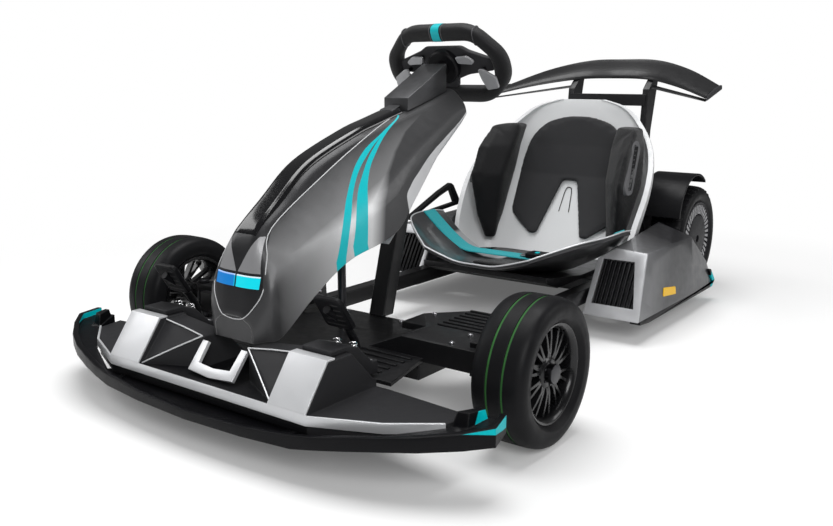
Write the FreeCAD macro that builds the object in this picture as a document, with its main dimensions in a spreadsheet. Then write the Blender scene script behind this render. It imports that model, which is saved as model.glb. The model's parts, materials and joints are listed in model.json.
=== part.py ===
import FreeCAD, Part
import math
import os
import Sketcher

# Electric go-kart: root chassis, steering, two knuckles, four wheels.
# Frame: X to the kart's left, Y to its rear, Z up, ground at Z = 0, origin between the axles' ends.

SIZES = [
    # name, millimetres or degrees
    ("frame_shift", -14), ("front_axle_y", -407), ("front_axle_z", 108), ("front_track_half", 376.5),
    ("front_tyre_radius", 108), ("front_tyre_half", 42), ("front_rim_radius", 73), ("front_rim_half", 34),
    ("rear_axle_y", 623), ("rear_tyre_radius", 127), ("rear_track_half", 214), ("rear_tyre_half", 40),
    ("rear_rim_radius", 92), ("rear_rim_half", 36), ("rim_wall", 6), ("hub_radius", 21), ("spoke_width", 9),
    ("spoke_depth", 8), ("tyre_groove", 3), ("groove_offset", 12), ("groove_width", 4),
    ("kingpin_offset", 51.5), ("kingpin_radius", 7), ("barrel_radius", 14), ("stub_radius", 8.5),
    ("turn_gap", 0.5), ("lug_radius", 16), ("lug_thick", 10), ("knuckle_arm", 77), ("arm_thick", 6),
    ("rod_radius", 4), ("rod_height", 54), ("pitman_length", 38), ("shaft_y", -385), ("shaft_radius", 7),
    ("rail_inner", 170), ("rail_width", 30), ("rail_low", 62), ("rail_height", 30),
    ("rail_front", -440), ("rail_rear", 246),
    ("pan_front", -548), ("pan_rear", -288), ("pan_half", 165), ("pan_nose_half", 232),
    ("pan_top", 98), ("arm_top", 126), ("arm_front", -437), ("arm_rear", -362),
    ("lug_reach", 25), ("plate_rear", -245), ("plate_half", 258), ("plate_low", 112), ("tread_rib", 3),
    ("bumper_low", 45), ("bumper_floor", 62), ("bumper_front", -722), ("lip_thick", 9),
    ("lip_drop", 5), ("winglet_height", 22), ("tower_rear", -600), ("throat_front", -655), ("neck_front", -640),
    ("neck_height", 136), ("lip_rise", 14), ("collar_lean", 40), ("collar_band", 12), ("collar_height", 52),
    ("collar_thick", 6),
    ("deck_top", 88), ("deck_front", -690), ("tower_top", 149), ("tower_face", -647), ("tower_inner", 138),
    ("tower_outer", 207), ("trim_thick", 3), ("hollow_half", 47.5),
    ("post_width", 33), ("post_depth", 30), ("post_lean", 15.5), ("post_y", -282),
    ("skin", 4), ("liner_drop", 18), ("spine_half", 22), ("spine_rise", 9), ("cover_half", 26), ("cover_height", 20),
    ("lamp_half", 55), ("lamp_low", 216), ("lamp_high", 234), ("seat_gap", 0.3),
    ("wheel_y", -80), ("wheel_z", 535), ("column_tilt", 27), ("steer_half_width", 132), ("steer_half_height", 76),
    ("rim_width", 30), ("rim_depth", 27), ("rim_round", 11), ("rim_cut", 58), ("hole_cut", 32),
    ("rim_bend", 50), ("hole_bend", 12), ("boss_radius", 32), ("paddle_reach", 13), ("paddle_thick", 5), ("column_radius", 13), ("column_length", 70),
    ("seat_low", 100), ("shell_wall", 12), ("pad_thick", 9), ("soft_gap", 0.4), ("tray_wall", 7),
    ("base_half", 150), ("base_low", 92), ("belt_front", 172), ("belt_width", 44), ("belt_thick", 3),
    ("pod_inner", 206), ("pod_step", 232.5), ("pod_low", 47), ("pod_front", 103), ("pod_lean", 31),
    ("pod_recess", 14), ("pod_dip", 20), ("skirt_depth", 12), ("web_thick", 4),
    ("arch_gap", 9), ("unit_half", 165), ("unit_top", 182), ("unit_tail", 77),
    ("wing_thick", 8), ("blade_thick", 3), ("mount_x", 100), ("mount_width", 16),
    ("pedal_inner", 145), ("pedal_outer", 198), ("lever_x", -262), ("lever_width", 14),
]

doc = FreeCAD.newDocument("gokart")
sheet = doc.addObject("Spreadsheet::Sheet", "sizes")
for row, (name, value) in enumerate(SIZES, 1):
    sheet.set("A%d" % row, name)
    sheet.set("B%d" % row, str(value))
    sheet.setAlias("B%d" % row, name)
doc.recompute()


class Size:
    """A length with the sheet expression it comes from."""

    def __init__(self, value, text):
        self.value = float(value)
        self.text = text

    def _join(self, other, sign, value):
        text = other.text if isinstance(other, Size) else repr(other)
        return Size(value, "(%s %s %s)" % (self.text, sign, text))

    def __add__(self, other):
        return self._join(other, "+", self.value + number(other))

    def __sub__(self, other):
        return self._join(other, "-", self.value - number(other))

    def __mul__(self, other):
        return self._join(other, "*", self.value * number(other))

    def __truediv__(self, other):
        return self._join(other, "/", self.value / number(other))

    def __neg__(self):
        return Size(-self.value, "(0 - %s)" % self.text)


def number(size):
    """Plain number of a Size or a number."""
    return size.value if isinstance(size, Size) else float(size)


class Sizes:
    """Gives every driving dimension as a bound Size."""

    def __getattr__(self, name):
        return Size(sheet.get(name), "sizes." + name)


S = Sizes()


def bind(thing, path, size):
    """Set a property and tie it to the sheet."""
    if isinstance(size, Size):
        thing.setExpression(path, size.text)


def new_body(label):
    body = doc.addObject("PartDesign::Body", label)
    body.Label = label
    return body


def origin_plane(body, role):
    return next(f for f in body.Origin.OriginFeatures if f.Role == role)


def new_sketch(body, name, role, shift=0):
    """Sketch on an origin plane, moved along the plane's normal by shift."""
    sketch = body.newObject("Sketcher::SketchObject", name)
    sketch.AttachmentSupport = [(origin_plane(body, role), "")]
    sketch.MapMode = "FlatFace"
    sketch.AttachmentOffset = FreeCAD.Placement(FreeCAD.Vector(0, 0, number(shift)), FreeCAD.Rotation())
    bind(sketch, "AttachmentOffset.Base.z", shift)
    return sketch


def add_outline(sketch, points):
    """Closed polygon whose corners are dimensioned from the sketch's origin."""
    first = sketch.GeometryCount
    count = len(points)
    flat = [FreeCAD.Vector(number(a), number(b), 0) for a, b in points]
    for i in range(count):
        sketch.addGeometry(Part.LineSegment(flat[i], flat[(i + 1) % count]))
    for i in range(count):
        sketch.addConstraint(Sketcher.Constraint("Coincident", first + i, 2, first + (i + 1) % count, 1))
    for i, (a, b) in enumerate(points):
        for kind, size in (("DistanceX", a), ("DistanceY", b)):
            index = sketch.addConstraint(Sketcher.Constraint(kind, first + i, 1, number(size)))
            bind(sketch, "Constraints[%d]" % index, size)


def add_circle(sketch, a, b, radius):
    """Circle dimensioned from the sketch's origin."""
    at = FreeCAD.Vector(number(a), number(b), 0)
    circle = sketch.addGeometry(Part.Circle(at, FreeCAD.Vector(0, 0, 1), number(radius)))
    for kind, size in (("DistanceX", a), ("DistanceY", b)):
        index = sketch.addConstraint(Sketcher.Constraint(kind, circle, 3, number(size)))
        bind(sketch, "Constraints[%d]" % index, size)
    index = sketch.addConstraint(Sketcher.Constraint("Radius", circle, number(radius)))
    bind(sketch, "Constraints[%d]" % index, radius)


def feature(body, kind, name, sketch, length=None, both=False, reverse=False, axis=None, through=False):
    """Pad, pocket, revolution or groove of one sketch."""
    item = body.newObject("PartDesign::" + kind, name)
    item.Profile = sketch
    if axis:
        item.ReferenceAxis = (sketch, [axis])
        item.Angle = 360
    elif through:
        item.Type = 1
        item.Midplane = both
    else:
        item.Length = number(length)
        bind(item, "Length", length)
        item.Midplane = both
    if reverse:
        item.Reversed = True
    return item


def place(thing, x=0, y=0, z=0, turn=None):
    """Put a finished sub-part at its seat, with the origin under the middle of the kart."""
    seat = (x, S.frame_shift + y, z)
    rotation = FreeCAD.Rotation(*turn) if turn else FreeCAD.Rotation()
    thing.Placement = FreeCAD.Placement(FreeCAD.Vector(*(number(size) for size in seat)), rotation)
    for letter, size in zip("xyz", seat):
        bind(thing, "Placement.Base." + letter, size)


def round_edges(body, name, radius, base, test):
    """Fillet the edges of base that the test picks."""
    doc.recompute()
    picked = ["Edge%d" % (i + 1) for i, edge in enumerate(base.Shape.Edges) if test(edge)]
    fillet = body.newObject("PartDesign::Fillet", name)
    fillet.Base = (base, picked)
    fillet.Radius = number(radius)
    bind(fillet, "Radius", radius)
    return fillet


def piece(label, shape):
    """Free-form sub-part."""
    item = doc.addObject("Part::Feature", label)
    item.Label = label
    item.Shape = shape
    place(item)
    return item


def wire(points):
    corners = [FreeCAD.Vector(*(number(c) for c in p)) for p in points]
    return Part.makePolygon(corners + corners[:1])


def loft(sections):
    """Solid through closed polygons with as many corners each."""
    return Part.makeLoft([wire(s) for s in sections], True, True)


def faceted(corners, faces):
    """Solid with flat facets, each given by the names of its corners."""
    shell = Part.Shell([Part.Face(wire([corners[name] for name in face])) for face in faces])
    solid = Part.Solid(shell)
    if solid.Volume < 0:
        solid.reverse()
    return solid


def mirrored(points):
    """Half outline given for X > 0, closed on the other side."""
    return points + [(-p[0],) + tuple(p[1:]) for p in reversed(points)]


def prism(points, direction):
    """Solid of a planar polygon moved along a direction."""
    return Part.Face(wire(points)).extrude(FreeCAD.Vector(*direction))


def flip(shape):
    """The same piece on the other side of the kart."""
    return shape.mirror(FreeCAD.Vector(), FreeCAD.Vector(1, 0, 0))


def box(x0, x1, y0, y1, z0, z1):
    corner = FreeCAD.Vector(x0, y0, z0)
    return Part.makeBox(x1 - x0, y1 - y0, z1 - z0, corner)


V = {name: sheet.get(name) for name, value in SIZES}
KINGPIN_X = S.front_track_half - S.kingpin_offset
ARM_HALF = KINGPIN_X - S.lug_reach


# Front and rear wheels: tyre and rim each turned round the axle
def tyre_profile(radius, half, rim_radius, rim_half, grooves):
    """Half section of a tyre as (across, radius) corners from the inner bead round the crown."""
    shoulder = half * 0.62
    left = [(-rim_half, rim_radius), (-half, radius * 0.76), (-half, radius * 0.88), (-shoulder, radius - 2)]
    crown = []
    for centre in grooves:
        crown += [(centre - S.groove_width / 2, radius), (centre - S.groove_width / 2, radius - S.tyre_groove),
                  (centre + S.groove_width / 2, radius - S.tyre_groove), (centre + S.groove_width / 2, radius)]
    if not crown:
        crown = [(-half * 0.3, radius), (half * 0.3, radius)]
    right = [(shoulder, radius - 2), (half, radius * 0.88), (half, radius * 0.76), (rim_half, rim_radius)]
    return left + crown + right


def build_tyre(label, x, y, radius, half, rim_radius, rim_half, grooves):
    body = new_body(label)
    sketch = new_sketch(body, label + "_section", "XZ_Plane")
    add_outline(sketch, tyre_profile(radius, half, rim_radius, rim_half, grooves))
    feature(body, "Revolution", label + "_turn", sketch, axis="H_Axis")
    place(body, x, y, radius)


def build_front_rim(label, side):
    body = new_body(label)
    barrel = new_sketch(body, label + "_barrel_section", "XZ_Plane")
    outer = S.front_rim_radius - 0.4
    half = S.front_rim_half
    wall = outer - S.rim_wall
    add_outline(barrel, [(-half, outer), (-half, wall), (half - 4, wall), (half, outer)])
    ring = feature(body, "Revolution", label + "_barrel", barrel, axis="H_Axis")
    hub = new_sketch(body, label + "_hub_section", "XZ_Plane")
    bore = S.stub_radius + S.turn_gap
    inward = -24 if side > 0 else -27.5
    outward = 27.5 if side > 0 else 24
    add_outline(hub, [(inward, bore), (inward, S.hub_radius), (outward, S.hub_radius), (outward, bore)])
    feature(body, "Revolution", label + "_hub", hub, axis="H_Axis")
    face = new_sketch(body, label + "_spoke_outline", "YZ_Plane", 27.5 if side > 0 else -27.5)
    add_outline(face, [(-S.spoke_width / 2, S.hub_radius - 3), (S.spoke_width / 2, S.hub_radius - 3),
                       (S.spoke_width * 0.8, wall + 1), (-S.spoke_width * 0.8, wall + 1)])
    spoke = feature(body, "Pad", label + "_spoke", face, S.spoke_depth, reverse=side > 0)
    spokes = body.newObject("PartDesign::PolarPattern", label + "_spokes")
    spokes.Originals = [spoke]
    spokes.Axis = (next(f for f in body.Origin.OriginFeatures if f.Role == "X_Axis"), [""])
    spokes.Occurrences = 10
    body.Tip = spokes
    place(body, S.front_track_half * side, S.front_axle_y, S.front_tyre_radius)


def build_rear_rim(label, side):
    body = new_body(label)
    section = new_sketch(body, label + "_section", "XZ_Plane")
    outer = S.rear_rim_radius - 0.4
    half = S.rear_rim_half
    bore = S.stub_radius + S.turn_gap
    if side > 0:
        points = [(-half, bore), (-half, 40), (-8, 44), (-8, outer - 10), (-half, outer - 8), (-half, outer),
                  (half, outer), (half + 3, outer - 8), (half + 3, bore)]
    else:
        points = [(half, bore), (half, 40), (8, 44), (8, outer - 10), (half, outer - 8), (half, outer),
                  (-half, outer), (-half - 3, outer - 8), (-half - 3, bore)]
    add_outline(section, points)
    feature(body, "Revolution", label + "_turn", section, axis="H_Axis")
    place(body, S.rear_track_half * side, S.rear_axle_y, S.rear_tyre_radius)


WHEELS = [
    # side name, sign of X
    ("left", 1),
    ("right", -1),
]
for name, side in WHEELS:
    build_tyre("front_tyre_" + name, S.front_track_half * side, S.front_axle_y, S.front_tyre_radius,
               S.front_tyre_half, S.front_rim_radius, S.front_rim_half, [-S.groove_offset, S.groove_offset])
    build_front_rim("front_rim_" + name, side)
    build_tyre("rear_tyre_" + name, S.rear_track_half * side, S.rear_axle_y, S.rear_tyre_radius,
               S.rear_tyre_half, S.rear_rim_radius, S.rear_rim_half, [])
    build_rear_rim("rear_rim_" + name, side)


# Steering knuckles: kingpin, barrel, stub axle with nut, and the arm under the floor
def build_knuckle(label, side):
    body = new_body(label)
    gap = S.turn_gap
    barrel_low = S.front_axle_z - 16
    barrel_high = S.front_axle_z + 16
    pin_low = S.rod_height + S.rod_radius + 2
    section = new_sketch(body, label + "_pin_section", "XZ_Plane")
    add_outline(section, [(0, pin_low), (S.barrel_radius, pin_low), (S.barrel_radius, pin_low + S.arm_thick + 4),
                          (S.kingpin_radius, pin_low + S.arm_thick + 4), (S.kingpin_radius, barrel_low + gap),
                          (S.barrel_radius, barrel_low + gap), (S.barrel_radius, barrel_high - gap),
                          (S.kingpin_radius, barrel_high - gap), (S.kingpin_radius, barrel_high + S.lug_thick + 1),
                          (S.kingpin_radius + 4, barrel_high + S.lug_thick + 1),
                          (S.kingpin_radius + 4, barrel_high + S.lug_thick + 7), (0, barrel_high + S.lug_thick + 7)])
    feature(body, "Revolution", label + "_pin", section, axis="V_Axis")
    stub = new_sketch(body, label + "_stub_section", "XZ_Plane")
    reach = S.front_track_half - KINGPIN_X + 28
    add_outline(stub, [(4 * side, S.front_axle_z), (4 * side, S.front_axle_z + S.stub_radius),
                       (reach * side, S.front_axle_z + S.stub_radius), (reach * side, S.front_axle_z + 14),
                       ((reach + 8) * side, S.front_axle_z + 14), ((reach + 8) * side, S.front_axle_z)])
    turned = body.newObject("PartDesign::Revolution", label + "_stub")
    turned.Profile = stub
    turned.ReferenceAxis = (stub, ["Edge6"])
    turned.Angle = 360
    arm = new_sketch(body, label + "_arm_outline", "XY_Plane", pin_low)
    add_outline(arm, [(-10, -10), (10, -10), (9, S.knuckle_arm + 8), (-9, S.knuckle_arm + 8)])
    feature(body, "Pad", label + "_arm", arm, S.arm_thick)
    eye = new_sketch(body, label + "_rod_pin_circle", "XY_Plane", pin_low + 1)
    add_circle(eye, 0, S.knuckle_arm, 3)
    feature(body, "Pad", label + "_rod_pin", eye, S.rod_radius * 2 + 3, reverse=True)
    place(body, KINGPIN_X * side, S.front_axle_y, 0)


for name, side in WHEELS:
    build_knuckle("knuckle_" + name, side)


# Tie rods: an eye on the knuckle's pin, open at the steering shaft's arm
def build_tie_rod(label, side):
    low = V["rod_height"] - V["rod_radius"]
    outer = FreeCAD.Vector(KINGPIN_X.value * side, V["front_axle_y"] + V["knuckle_arm"], low)
    inner = FreeCAD.Vector(12 * side, V["shaft_y"] + V["pitman_length"], low)
    thick = V["rod_radius"] * 2
    along = inner - outer
    bar = Part.makeCylinder(V["rod_radius"] - 0.5, along.Length, outer + FreeCAD.Vector(0, 0, V["rod_radius"]), along)
    shape = bar.fuse([Part.makeCylinder(8, thick, outer), Part.makeCylinder(8, thick, inner)])
    shape = shape.cut(Part.makeCylinder(3 + V["turn_gap"], thick + 2, outer - FreeCAD.Vector(0, 0, 1)))
    piece(label, shape.removeSplitter())


for name, side in WHEELS:
    build_tie_rod("tie_rod_" + name, side)


# Ladder frame under the seat
body = new_body("frame_rails")
plan = new_sketch(body, "rails_outline", "XY_Plane", S.rail_low)
outer = S.rail_inner + S.rail_width
add_outline(plan, [(-outer, S.rail_front), (outer, S.rail_front), (outer, S.rail_rear), (-outer, S.rail_rear)])
add_outline(plan, [(-S.rail_inner, S.rail_front + S.rail_width), (S.rail_inner, S.rail_front + S.rail_width),
                   (S.rail_inner, S.rail_rear - S.rail_width), (-S.rail_inner, S.rail_rear - S.rail_width)])
feature(body, "Pad", "rails", plan, S.rail_height)
place(body)


# Floor pan with arms out to the kingpins, ribbed foot plates and heel rests
body = new_body("floor_pan")
plan = new_sketch(body, "pan_outline", "XY_Plane", S.rail_low + S.rail_height)
pan_depth = S.pan_top - S.rail_low - S.rail_height
add_outline(plan, [(-S.pan_nose_half, S.pan_front), (S.pan_nose_half, S.pan_front), (S.pan_half + 40, S.arm_front),
                   (S.pan_half, S.arm_rear), (S.pan_half - 60, S.pan_rear), (-S.pan_half + 60, S.pan_rear),
                   (-S.pan_half, S.arm_rear), (-S.pan_half - 40, S.arm_front)])
feature(body, "Pad", "pan", plan, pan_depth)
arch = new_sketch(body, "arm_profile", "XZ_Plane", -S.arm_rear)
under = S.rail_low + S.rail_height
add_outline(arch, [(-ARM_HALF, under), (ARM_HALF, under), (ARM_HALF, S.arm_top), (S.pan_half, S.arm_top),
                   (S.pan_half - 65, S.pan_top), (-S.pan_half + 65, S.pan_top), (-S.pan_half, S.arm_top),
                   (-ARM_HALF, S.arm_top)])
feature(body, "Pad", "arms", arch, S.arm_rear - S.arm_front)
for name, side in WHEELS:
    plate = new_sketch(body, "foot_plate_outline_" + name, "XY_Plane", S.plate_low)
    add_outline(plate, [((S.pan_half - 55) * side, S.arm_rear - 2), (S.plate_half * side, S.arm_rear - 2),
                        (S.plate_half * side, S.plate_rear), (S.pan_half * side, S.plate_rear),
                        ((S.pan_half - 55) * side, S.plate_rear - 58)])
    feature(body, "Pad", "foot_plate_" + name, plate, S.arm_top - S.plate_low - S.tread_rib)
    rib = new_sketch(body, "foot_rib_outline_" + name, "XY_Plane", S.plate_low)
    add_outline(rib, [((S.pan_half + 4) * side, S.arm_rear - 2), ((S.plate_half - 6) * side, S.arm_rear - 2),
                      ((S.plate_half - 6) * side, S.arm_rear + 4), ((S.pan_half + 4) * side, S.arm_rear + 4)])
    ribbed = feature(body, "Pad", "foot_rib_" + name, rib, S.arm_top - S.plate_low)
    row = body.newObject("PartDesign::LinearPattern", "foot_ribs_" + name)
    row.Originals = [ribbed]
    row.Direction = (next(f for f in body.Origin.OriginFeatures if f.Role == "Y_Axis"), [""])
    row.Length = number(S.plate_rear - S.arm_rear - 6)
    bind(row, "Length", S.plate_rear - S.arm_rear - 6)
    row.Occurrences = 8
    body.Tip = row
    heel = new_sketch(body, "heel_rib_outline_" + name, "XY_Plane", S.pan_top - 1)
    add_outline(heel, [(100 * side, S.pan_front + 20), (196 * side, S.pan_front + 20),
                       (196 * side, S.pan_front + 26), (100 * side, S.pan_front + 26)])
    ribbed = feature(body, "Pad", "heel_rib_" + name, heel, S.tread_rib + 1)
    row = body.newObject("PartDesign::LinearPattern", "heel_ribs_" + name)
    row.Originals = [ribbed]
    row.Direction = (next(f for f in body.Origin.OriginFeatures if f.Role == "Y_Axis"), [""])
    row.Length = 72
    row.Occurrences = 5
    body.Tip = row
    for lug_name, lug_low in (("lower", S.front_axle_z - 16 - S.lug_thick), ("upper", S.front_axle_z + 16)):
        lug = new_sketch(body, "lug_outline_%s_%s" % (lug_name, name), "XY_Plane", lug_low)
        add_outline(lug, [((ARM_HALF - 20) * side, S.front_axle_y - S.lug_radius),
                          (KINGPIN_X * side, S.front_axle_y - S.lug_radius),
                          ((KINGPIN_X + S.lug_radius * 0.8) * side, S.front_axle_y - S.lug_radius * 0.6),
                          ((KINGPIN_X + S.lug_radius) * side, S.front_axle_y),
                          ((KINGPIN_X + S.lug_radius * 0.8) * side, S.front_axle_y + S.lug_radius * 0.6),
                          (KINGPIN_X * side, S.front_axle_y + S.lug_radius),
                          ((ARM_HALF - 20) * side, S.front_axle_y + S.lug_radius)])
        add_circle(lug, KINGPIN_X * side, S.front_axle_y, S.kingpin_radius + S.turn_gap)
        body.Tip = feature(body, "Pad", "lug_%s_%s" % (lug_name, name), lug, S.lug_thick)
hole = new_sketch(body, "shaft_hole", "XY_Plane", S.rail_low)
add_circle(hole, 0, S.shaft_y, S.shaft_radius + S.turn_gap)
body.Tip = feature(body, "Pocket", "shaft_bore", hole, 100, reverse=True)
place(body)


# Steering shaft that stands in the pan, with the arm for both tie rods
body = new_body("steering_shaft")
arm_low = S.rod_height + S.rod_radius + 2
stem = new_sketch(body, "shaft_circle", "XY_Plane", arm_low)
add_circle(stem, 0, 0, S.shaft_radius)
feature(body, "Pad", "shaft", stem, -arm_low + 290)
arm = new_sketch(body, "pitman_outline", "XY_Plane", arm_low)
add_outline(arm, [(-12, -12), (12, -12), (18, S.pitman_length + 8), (-18, S.pitman_length + 8)])
feature(body, "Pad", "pitman", arm, S.arm_thick)
place(body, 0, S.shaft_y, 0)


def side_profile(points, x0, x1):
    """Solid whose outline is given as (Y, Z), from x0 to x1."""
    return prism([(x0, y, z) for y, z in points], (x1 - x0, 0, 0))


# Front bumper: crescent with a low lip, a channel behind it and ends that climb at both sides
BUMPER = [
    # outer x, outer y behind the front, inner x, inner y behind, keel, lip and floor above the bumper's low
    (0, 0, 0, 82, 0, 12, 17),
    (110, 4, 110, 82, 1, 15, 17),
    (195, 12, 195, 82, 3, 21, 17),
    (232, 17, 228, 36, 9, 26, 17),
    (270, 25, 262, 50, 15, 33, 24),
    (315, 39, 303, 68, 21, 39, 30),
    (360, 61, 338, 94, 24, 44, 35),
    (405, 93, 368, 116, 27, 49, 40),
    (434, 122, 380, 140, 29, 54, 45),
    (428, 156, 388, 162, 35, 59, 50),
]


def bumper_section(row, side):
    """Cross section from the keel's outer edge over the lip and down the channel to the inner edge."""
    out_x, out_y, in_x, in_y, keel, lip, floor = row
    outer = FreeCAD.Vector(side * out_x, V["bumper_front"] + out_y, 0)
    inner = FreeCAD.Vector(side * in_x, V["bumper_front"] + in_y, 0)
    crest = outer + (inner - outer).normalize() * V["lip_thick"]
    seat = crest + (inner - crest) * 0.55
    lip_z = V["bumper_low"] + lip
    floor_z = V["bumper_low"] + floor
    channel_z = min(lip_z - V["lip_drop"], floor_z)
    keel_z = V["bumper_low"] + keel
    return [(p.x, p.y, z) for p, z in ((outer, keel_z), (outer, lip_z), (crest, lip_z), (crest, channel_z),
                                       (seat, floor_z), (inner, floor_z), (inner, keel_z))]


def winglet(side):
    """Low tapered block on the inside of the bumper's end."""
    low_z = V["bumper_low"] + BUMPER[-3][6] - 1
    base = [(371, -603), (393, -600), (405, -567), (390, -563)]
    top = [(375, -597), (391, -594), (400, -570), (391, -568)]
    block = loft([[(x * side, y, low_z) for x, y in base], [(x * side, y, low_z + V["winglet_height"]) for x, y in top]])
    return block


sections = [bumper_section(row, -1) for row in reversed(BUMPER[1:])] + [bumper_section(row, 1) for row in BUMPER]
bumper = loft(sections)
front = V["bumper_front"]
for side in (1, -1):
    rib = prism([(side * 166, front + 12, V["bumper_low"] + 8), (side * 175, front + 12, V["bumper_low"] + 8),
                 (side * 192, front + 46, V["bumper_low"] + 8), (side * 183, front + 46, V["bumper_low"] + 8)],
                (0, 0, 10))
    rib = rib.cut(box(-400, 400, front + 31.5, front + 60, V["bumper_floor"], V["bumper_floor"] + 30))
    bumper = bumper.fuse([rib, winglet(side)])
piece("front_bumper", bumper.removeSplitter())


# Front deck: floor slab with its throat under the nose, two pedal towers, and faceted bridges from tower to nose
low, top, front = V["bumper_floor"], V["deck_top"], V["deck_front"]
ledge = V["tower_top"] - 3
tower = [(front, low), (front, top + 3), (V["tower_face"], V["tower_top"]), (V["tower_rear"], V["tower_top"]),
         (V["pan_front"] - 8, V["pan_top"] + 4), (V["pan_front"], V["pan_top"]), (V["pan_front"], low)]
slab = [(front, low), (front, top), (V["pan_front"] - 8, top), (V["pan_front"], V["pan_top"]), (V["pan_front"], low)]
throat = box(-V["hollow_half"], V["hollow_half"], V["throat_front"], V["pan_front"] + 20, top - 14, 200)


def bridge(side):
    """Wedge that fills the corner between a tower and the throat, with a ridge from the tower's foot to the neck."""
    near = side * V["hollow_half"]
    far = side * V["tower_inner"]
    corners = {
        "foot": (far, front + 6, top), "brow": (far, V["tower_face"] + 11, ledge),
        "brow_rear": (far, V["tower_rear"], ledge), "far_rear": (far, V["pan_front"] - 8, top),
        "neck_low": (near, V["neck_front"], top), "neck": (near, V["neck_front"], V["neck_height"]),
        "neck_rear": (near, V["tower_rear"], V["neck_height"]), "near_rear": (near, V["pan_front"] - 8, top),
    }
    faces = [("foot", "neck_low", "neck"), ("foot", "neck", "brow"), ("brow", "neck", "neck_rear", "brow_rear"),
             ("brow_rear", "neck_rear", "near_rear"), ("brow_rear", "near_rear", "far_rear"),
             ("neck_low", "neck", "neck_rear", "near_rear"),
             ("foot", "brow", "brow_rear", "far_rear"), ("foot", "neck_low", "near_rear", "far_rear")]
    return faceted(corners, faces)


deck = side_profile(slab, -V["tower_inner"], V["tower_inner"])
for side in (1, -1):
    plate = [(side * V["tower_outer"], front, low), (side * 300, -650, low), (side * 362, -604, low),
             (side * 372, -560, low), (side * V["pan_nose_half"], V["pan_front"], low),
             (side * V["tower_outer"], V["pan_front"], low)]
    deck = deck.fuse([side_profile(tower, side * V["tower_inner"], side * V["tower_outer"]), bridge(side),
                      prism(plate, (0, 0, top - low))])
piece("front_deck", deck.cut(throat).removeSplitter())

# Silver trim: a strap over each tower's front, the lip between and beside them, and the collar round the throat
thick = V["trim_thick"]
lip_low = low + V["lip_rise"]


def trim_side(side):
    strap = [(front, lip_low), (front - thick, lip_low), (front - thick, top + 4),
             (V["tower_face"] - thick * 0.7, V["tower_top"] + thick), (-634, V["tower_top"] + thick),
             (-634, V["tower_top"]), (V["tower_face"], V["tower_top"]), (front, top + 3)]
    lip = [(side * V["tower_outer"], front - thick, lip_low), (side * 302, -653, lip_low),
           (side * 365, -606, lip_low), (side * 362, -604, lip_low), (side * 300, -650, lip_low),
           (side * V["tower_outer"], front, lip_low)]
    return [side_profile(strap, side * V["tower_inner"], side * V["tower_outer"]),
            prism(lip, (0, 0, top - lip_low + 2))]


def throat_collar():
    """Tilted silver frame round the throat's mouth, open at the top."""
    lean = math.radians(V["collar_lean"])
    climb = FreeCAD.Vector(0, math.sin(lean), math.cos(lean))
    inward = FreeCAD.Vector(0, math.cos(lean), -math.sin(lean))
    wide = V["hollow_half"] - V["seat_gap"]
    band = V["collar_band"]
    tall = V["collar_height"]
    foot = FreeCAD.Vector(0, V["throat_front"] - 20, top + V["seat_gap"] + V["collar_thick"] * math.sin(lean))
    outline = [(-wide, 4), (0, 0), (wide, 4), (wide, tall), (wide - band, tall), (wide - band - 2, band + 6),
               (0, band + 3), (-wide + band + 2, band + 6), (-wide + band, tall), (-wide, tall)]
    points = [foot + climb * up for _, up in outline]
    return prism([(x, p.y, p.z) for (x, _), p in zip(outline, points)], tuple(inward * V["collar_thick"]))


lip = [(front, lip_low), (front - thick, lip_low), (front - thick, top + 2), (front, top + 2)]
trim = side_profile(lip, -V["tower_inner"], V["tower_inner"]).fuse(trim_side(1) + trim_side(-1))
piece("deck_trim", Part.makeCompound([trim.removeSplitter(), throat_collar()]))


# Nose fairing: hollow shell through cross sections from the tip to the steering wheel
NOSE = [
    # y, top z, top half width, waist half width, waist z, lower half width, lower z
    (-624, 176, 20, 44, 160, 40, 137),
    (-612, 238, 24, 62, 198, 56, 140),
    (-594, 289, 24, 68, 225, 70, 145.3),
    (-540, 331, 25, 80, 258, 82, 194),
    (-476, 378, 26, 88, 292, 96, 240),
    (-368, 419, 27, 86, 336, 99, 266),
    (-301, 437, 28, 80, 374, 90, 313),
    (-203, 462, 29, 68, 420, 72, 387),
    (-104, 490, 30, 56, 462, 60, 446),
]
COVER_FRONT = -236


def nose_section(row, inset=0.0, drop=0.0, shift=0.0):
    y, top_z, top_half, waist, waist_z, lower, lower_z = row
    half = [(top_half - inset, y + shift, top_z - inset), (waist - inset, y + shift, waist_z),
            (lower - inset, y + shift, lower_z - drop)]
    return mirrored(half)


outside = loft([nose_section(row) for row in NOSE])
inside = loft([nose_section(row, V["skin"], 20, V["skin"] + 2 if i == 0 else 0) for i, row in enumerate(NOSE)])
inside = inside.fuse(prism(nose_section(NOSE[-1], V["skin"], 20), (0, 20, 0)))
lamp_reach = V["lamp_half"] + 15
lamp_back = NOSE[0][0] + 21
slot = box(-lamp_reach, lamp_reach, NOSE[0][0] - 16, lamp_back + 3, V["lamp_low"] - 0.5, V["lamp_high"] + 0.5)
shell = outside.cut(inside).cut(slot)
piece("nose_shell", shell)
lamp = outside.common(box(-lamp_reach, lamp_reach, NOSE[0][0] - 16, lamp_back, V["lamp_low"], V["lamp_high"]))
piece("headlight", lamp)


def liner_section(row):
    y, top_z, top_half, waist, waist_z, lower, lower_z = row
    return mirrored([(lower - 0.2, y, lower_z - 0.3), (lower - 12, y, lower_z - V["liner_drop"])])


liner = loft([liner_section(row) for row in NOSE[5:]])
piece("nose_liner", liner)


def crest(y):
    """Height of the fairing's flat top at a station."""
    for ahead, behind in zip(NOSE, NOSE[1:]):
        if ahead[0] <= y <= behind[0]:
            return ahead[1] + (behind[1] - ahead[1]) * (y - ahead[0]) / (behind[0] - ahead[0])
    raise ValueError("no fairing at %s" % y)


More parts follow.
